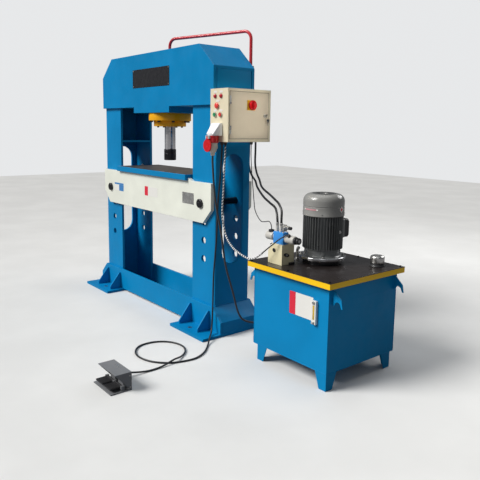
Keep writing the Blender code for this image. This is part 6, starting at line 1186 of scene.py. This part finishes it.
def valve_looks():
    base, top = VALVE_BASE, VALVE_BASE + 0.075
    shape = block(bmesh.new(), (1.49, 1.582), (-0.01, 0.037), (base, top), 0.002)
    piece("valve_look", shape, VALVE, node="valve_body")
    shape = bmesh.new()
    block(shape, (1.504, 1.534), (0.0372, 0.069), (base, top + 0.039), 0.002)
    for x in HOSE_X:
        hexagon(shape, (x, VALVE_Y, top), UPWARD, 0.0125, 0.013)
        hexagon(shape, (x, VALVE_Y, top + 0.014), UPWARD, 0.0115, 0.01)
        lathe(
            shape, [(0, 0.0), (0.0098, 0.0), (0.0098, 0.012), (0, 0.012)], (x, VALVE_Y, top + 0.024),
            UPWARD, 28, soft=0.0008
        )
    for x, y in ((1.574, -0.003), (1.56, 0.03), (1.574, 0.03)):
        lathe(shape, [
            (0, 0.004), (0.0022, 0.004), (0.0028, 0.006), (0.0045, 0.006), (0.005, 0.005), (0.005, 0.0),
            (0, 0.0)
        ], (x, y, top), UPWARD, 20)
    piece("valve_fittings", shape, SATIN, smooth=35)
    middle_y, middle_z = VALVE_Y, base + 0.038
    shape = turned([(0, 0.087)] + soft_corner([
        (0.0135, 0.087), (0.0147, 0.085), (0.0147, 0.075), (0.0235, 0.075), (0.0265, 0.072),
        (0.0265, 0.012), (0.019, 0.012), (0.019, 0.0), (0, 0.0)
    ], 0.0012), (COIL_LEFT, middle_y, middle_z), LEFTWARD, 48)
    piece("left_solenoid_look", shape, SATIN, smooth=35, node="left_solenoid")
    shape = turned([(0, 0.085)] + soft_corner([
        (0.0235, 0.085), (0.0265, 0.082), (0.0265, 0.012), (0.019, 0.012), (0.019, 0.0), (0, 0.0)
    ], 0.0012), (COIL_RIGHT, middle_y, middle_z), RIGHTWARD, 48)
    piece("right_solenoid_look", shape, SATIN, smooth=35, node="right_solenoid")
    shape = turned([(0, 0.033), (0.01, 0.033), (0.0105, 0.035)] + soft_corner([
        (0.0185, 0.035), (0.021, 0.0325), (0.021, 0.022), (0.0198, 0.021), (0.015, 0.0205),
        (0.015, 0.0145), (0.0198, 0.014), (0.0228, 0.012), (0.0228, 0.0), (0, 0.0)
    ], 0.001), (COIL_END, middle_y, middle_z), RIGHTWARD, 48)
    block(
        shape, (COIL_LEFT - 0.055, COIL_LEFT - 0.0275), (middle_y - 0.0135, middle_y + 0.0135),
        (middle_z + 0.0215, middle_z + 0.0405), 0.002
    )
    lean = Vector((0, -0.6, 0.8))
    lathe(shape, [
        (0, 0.024), (0.0115, 0.024), (0.0115, 0.0385), (0.0095, 0.0408), (0, 0.0408)
    ], (COIL_PLUG, middle_y, middle_z), lean, 6, soft=0.0012)
    piece("solenoid_plugs", shape, BLACK_AND_SHADE, smooth=35)
    shape = turned([
        (0, 0.0345), (0.0085, 0.0345), (0.0095, 0.0335), (0.0095, 0.03), (0, 0.03)
    ], (COIL_END, middle_y, middle_z), RIGHTWARD, 32)
    piece("solenoid_cap_centre", shape, ZINC)
    y, z = 0.053, top + 0.023
    profile = [(0, 0.054)] + soft_corner([
        (0.0085, 0.054), (0.01, 0.052), (0.01, 0.034), (0.0085, 0.0335), (0.012, 0.033), (0.012, 0.0),
        (0.0083, 0.0), (0.0083, -0.012), (0, -0.012)
    ], 0.0008)
    shape = turned(profile, (1.5343, y, z), RIGHTWARD, 40)
    hexagon(shape, (1.5348, y, z), RIGHTWARD, 0.014, 0.01)
    piece("relief_look", shape, SATIN, "relief", 35, node="relief_valve")
    shape = turned([
        (0.0, 0.0542), (0.009, 0.0542), (0.0106, 0.0525), (0.0106, 0.0355), (0.0095, 0.0345),
        (0, 0.0345)
    ], (1.5343, y, z), RIGHTWARD, 40, soft=0.0003)
    piece("relief_grip", shape, BLACK_AND_SHADE, "relief")
    # silver elbow on the lid, left of the motor
    shape = bmesh.new()
    foot = (1.505, 0.195)
    hexagon(shape, (*foot, ON_LID), UPWARD, 0.014, 0.012, 0.018)
    points = [Vector((*foot, 0.669))] + bend(
        (*foot, 0.669), (*foot, 0.722), (1.545, 0.17, 0.748), 0.016, 8
    ) + [Vector((1.524, 0.183, 0.735))]
    tube(shape, points, 0.0095, 20)
    hexagon(shape, points[-1], (0.8, -0.5, 0.5), 0.0125, 0.012)
    piece("lid_elbow", shape, ZINC, smooth=35)


# Foot switch


def pedal_looks():
    dress("pedal_base", PEDAL, 0.0008)
    dress("pedal_hood", PEDAL, 0.0008)
    for side, body in (("left", "left_pedal"), ("right", "right_pedal")):
        dress(f"{side}_tread", TREAD, 0.0012, body)
        low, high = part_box(f"{side}_tread")
        low, high = Vector(low) - ORIGIN, Vector(high) - ORIGIN
        shape = bmesh.new()
        for i in range(6):
            y = low.y + 0.009 + i * 0.0085
            block(shape, (low.x + 0.007, high.x - 0.007), (y, y + 0.003), (0.0278, 0.0306), 0.0005)
        piece(f"{side}_tread_ribs", shape, TREAD, body)
    # bright steel strip at the hood's edge: painted highlight
    shape = block(bmesh.new(), (1.182, 1.216), (-0.962, -0.9565), (0.111, 0.112), 0.0004)
    piece("hood_glint", shape, BRIGHT)
    shape = bmesh.new()
    for x in (1.0998, 1.3222):
        for y, z in ((-0.943, 0.02), (-0.945, 0.09)):
            hexagon(shape, (x, y, z), (1 if x > 1.2 else -1, 0, 0), 0.004, 0.0025)
    piece("hood_screws", shape, ZINC)
    shape = turned([
        (0, 0.0), (0.0115, 0.0), (0.0115, 0.006), (0.0095, 0.0125), (0.0075, 0.0137), (0, 0.0137)
    ], (1.155, -0.932, 0.03), BACKWARD, 28, soft=0.0008)
    piece("pedal_gland_nut", shape, TERMINAL, smooth=35)


# Cables and hoses


def cord_piece(name, node, points, diameter, material):
    shape = tube(bmesh.new(), points, diameter / 2, 14)
    made = piece(name, shape, material, "press", 60, node)


def sleeve(name, start, direction, radius, length):
    """A tapered rubber relief where a cable leaves its gland."""
    profile = soft_corner([
        (0, 0.0), (radius * 1.55, 0.0), (radius * 1.45, length * 0.25), (radius * 1.2, length * 0.8),
        (radius * 1.08, length), (0, length)
    ], 0.0006)
    piece(name, turned(profile, start, direction, 24), RUBBER, smooth=40)


def cords():
    floor = PEDAL_CORD / 2 + 0.0003
    hump = floor + PEDAL_CORD * 1.25
    motor_end = (MX - 0.0753, MY + 0.161, 0.867)
    route = [
        (*SOCKET_AT, 1.345), (*SOCKET_AT, 1.2647), (0.952, -0.074, 1.036), (0.96, -0.053, 0.9),
        (0.971, -0.033, 0.783), (0.989, 0.001, 0.532), (1.013, 0.049, 0.339), (1.031, 0.085, 0.19),
        (1.048, 0.119, 0.13), (1.085, 0.193, 0.103), (1.18, 0.37, 0.09), (1.275, 0.52, 0.11),
        (1.355, 0.597, 0.19), (1.42, 0.629, 0.37), (1.44, 0.637, 0.56), (1.44, 0.63, 0.66),
        (1.44, 0.6, 0.745), (1.432, 0.559, 0.817), (1.457, 0.486, 0.856), (1.497, 0.452, 0.867),
        (motor_end[0] - 0.028, motor_end[1], motor_end[2]), motor_end
    ]
    points = smooth_route(route, 120)[::-1]
    cord_piece(
        "motor_cable", "plug_cable", points, 0.014, CABLE_GREY
    )
    sleeve("motor_cable_relief", motor_end, LEFTWARD, 0.007, 0.024)
    route = [
        (*PEDAL_GLAND, GLAND_FOOT), (0.97, -0.031, 1.34), (0.959, -0.037, 1.132), (0.944, -0.04, 0.997),
        (0.929, -0.04, 0.725), (0.915, -0.041, 0.589), (0.902, -0.042, 0.458), (0.897, -0.044, 0.222),
        (0.9, -0.05, 0.11), (0.914, -0.066, 0.052), (0.94, -0.091, 0.032), (0.97, -0.121, 0.03),
        (0.998, -0.149, 0.019), (1.035, -0.184, floor), (1.125, -0.279, floor), (1.175, -0.377, floor),
        (1.172, -0.469, floor), (1.133, -0.571, floor), (1.047, -0.646, floor), (0.936, -0.672, floor),
        (0.845, -0.648, floor), (0.772, -0.578, floor), (0.76, -0.479, floor), (0.799, -0.397, floor),
        (0.872, -0.348, floor), (0.96, -0.34, floor), (1.04, -0.378, floor),
        (1.098, -0.445, floor * 1.4), (1.141, -0.535, hump), (1.16, -0.625, floor * 1.4),
        (1.166, -0.72, floor), (1.16, -0.79, 0.012), (1.155, -0.88295, 0.03), (1.155, -0.91795, 0.03)
    ]
    cord_piece(
        "pedal_cable_look", "pedal_cable", smooth_route(route, 170), PEDAL_CORD, RUBBER,
    )
    sleeve("pedal_cable_relief", (1.155, -0.9182, 0.03), BACKWARD, PEDAL_CORD / 2, 0.02)
    plug_x, plug_y, plug_z = COIL_PLUG - 0.0105, VALVE_Y - 0.6 * 0.0363, 0.8256 + 0.8 * 0.0363
    route = [
        (*CONTROL_GLAND, GLAND_FOOT), (0.929, 0.03, 1.33), (0.915, 0.029, 1.068), (0.93, 0.01, 0.893),
        (1.0, -0.012, 0.761), (1.12, -0.05, 0.704), (1.24, -0.078, 0.68), (1.343, -0.088, 0.6673),
        (1.4, -0.086, 0.6783), (1.456, -0.08, 0.716), (1.502, -0.066, 0.758), (1.541, -0.048, 0.795),
        (1.572, -0.03, 0.826), (plug_x - 0.012, plug_y - 0.001, plug_z - 0.002),
        (plug_x, plug_y, plug_z)
    ]
    points = smooth_route(route, 120)
    cord_piece(
        "control_cable_look", "control_cable", points, 0.008, RUBBER
    )
    wrap([p for p in points if p[0] < 1.49 or p[2] > 1.0])
    route = [
        (1.44845, 0.0135, 0.8664), (1.44745, 0.0135, 0.8804), (1.43645, 0.0165, 0.9004),
        (1.40845, 0.0255, 0.9104), (1.35, 0.043, 0.899), (1.276, 0.07, 0.892), (1.149, 0.13, 0.938),
        (1.051, 0.2, 0.993), (0.95, 0.276, 1.06), (0.905, 0.3, 1.16), (*SOLENOID_GLAND, 1.3),
        (*SOLENOID_GLAND, GLAND_FOOT)
    ]
    cord_piece(
        "solenoid_cable_look", "solenoid_cable", smooth_route(route, 90), 0.006, RUBBER,
    )
    start = VALVE_BASE + 0.075 + 0.014 + 0.022 + 0.0003
    pressure = [
        (HOSE_X[0], VALVE_Y, start), (HOSE_X[0], VALVE_Y, start + 0.025), (1.484, 0.024, 0.965),
        (1.435, 0.055, 0.998), (1.33, 0.1, 1.018), (1.194, 0.164, 1.04), (0.99, 0.28, 1.085),
        (0.885, 0.35, 1.119), (0.82, PIPE_BACK - 0.003, 1.158), (PIPE_X, PIPE_BACK, 1.225),
        (PIPE_X, PIPE_BACK, 1.33), (PIPE_X, PIPE_BACK, 1.4597)
    ]
    back = [
        (HOSE_X[1], VALVE_Y, start), (HOSE_X[1], VALVE_Y, start + 0.045), (1.526, 0.024, 0.995),
        (1.478, 0.045, 1.03), (1.4, 0.085, 1.045), (1.277, 0.15, 1.062), (1.083, 0.245, 1.092),
        (0.93, 0.35, 1.134), (0.86, LOWER_BACK - 0.01, 1.166), (LOWER_X, LOWER_BACK, 1.235),
        (LOWER_X, LOWER_BACK, 1.34), (LOWER_X, LOWER_BACK, 1.4597)
    ]
    for name, node, route in (
        ("pressure_hose_look", "pressure_hose", pressure), ("return_hose_look", "return_hose", back)
    ):
        points = smooth_route(route, 80)
        cord_piece(name, node, points, 0.015, HOSE)
        ferrule(name + "_start", points[0], Vector(points[1]) - Vector(points[0]))
        ferrule(name + "_end", points[-1], Vector(points[-2]) - Vector(points[-1]))


def ferrule(name, at, direction):
    shape = turned([
        (0, 0.0002), (0.0092, 0.0002), (0.0096, 0.004), (0.0096, 0.016), (0.0088, 0.02), (0, 0.02)
    ], at, direction, 28, soft=0.0008)
    piece(name, shape, ZINC, smooth=35)


def wrap(points):
    """White spiral strip wound round the control cable."""
    fine = []
    for a, b in zip(points, points[1:]):
        fine += [Vector(a).lerp(Vector(b), t / 6) for t in range(6)]
    fine.append(Vector(points[-1]))
    travelled = running_lengths(fine)
    directions = frames_along(fine)
    shape = bmesh.new()
    rings = []
    pitch, width, inner, outer = 0.022, 0.011, 0.0042, 0.0062
    total = travelled[-1] - 0.03
    steps = int(total / pitch * 10)
    index = 0
    for i in range(steps + 1):
        where = 0.012 + (total - 0.012) * i / steps
        corners = []
        for offset, radius in ((0, inner), (0, outer), (width, outer), (width, inner)):
            k, share = segment_at(travelled, where + offset, index)
            centre = fine[k].lerp(fine[k + 1], share)
            side, up = directions[k]
            angle = math.tau * where / pitch
            corners.append(
                shape.verts.new(centre + (side * math.cos(angle) + up * math.sin(angle)) * radius)
            )
        index = segment_at(travelled, where, index)[0]
        rings.append(corners)
    skin(shape, rings)
    piece("cable_wrap", shape, WRAP, smooth=40)


# Everything

camera()
stage()
plug_piece = socket_looks()
cords()
frame_looks()
table_looks()
cylinder_looks()
pipe_looks()
box_looks()
tank_looks()
motor_looks()
manifold_looks()
valve_looks()
pedal_looks()

bpy.context.view_layer.update()
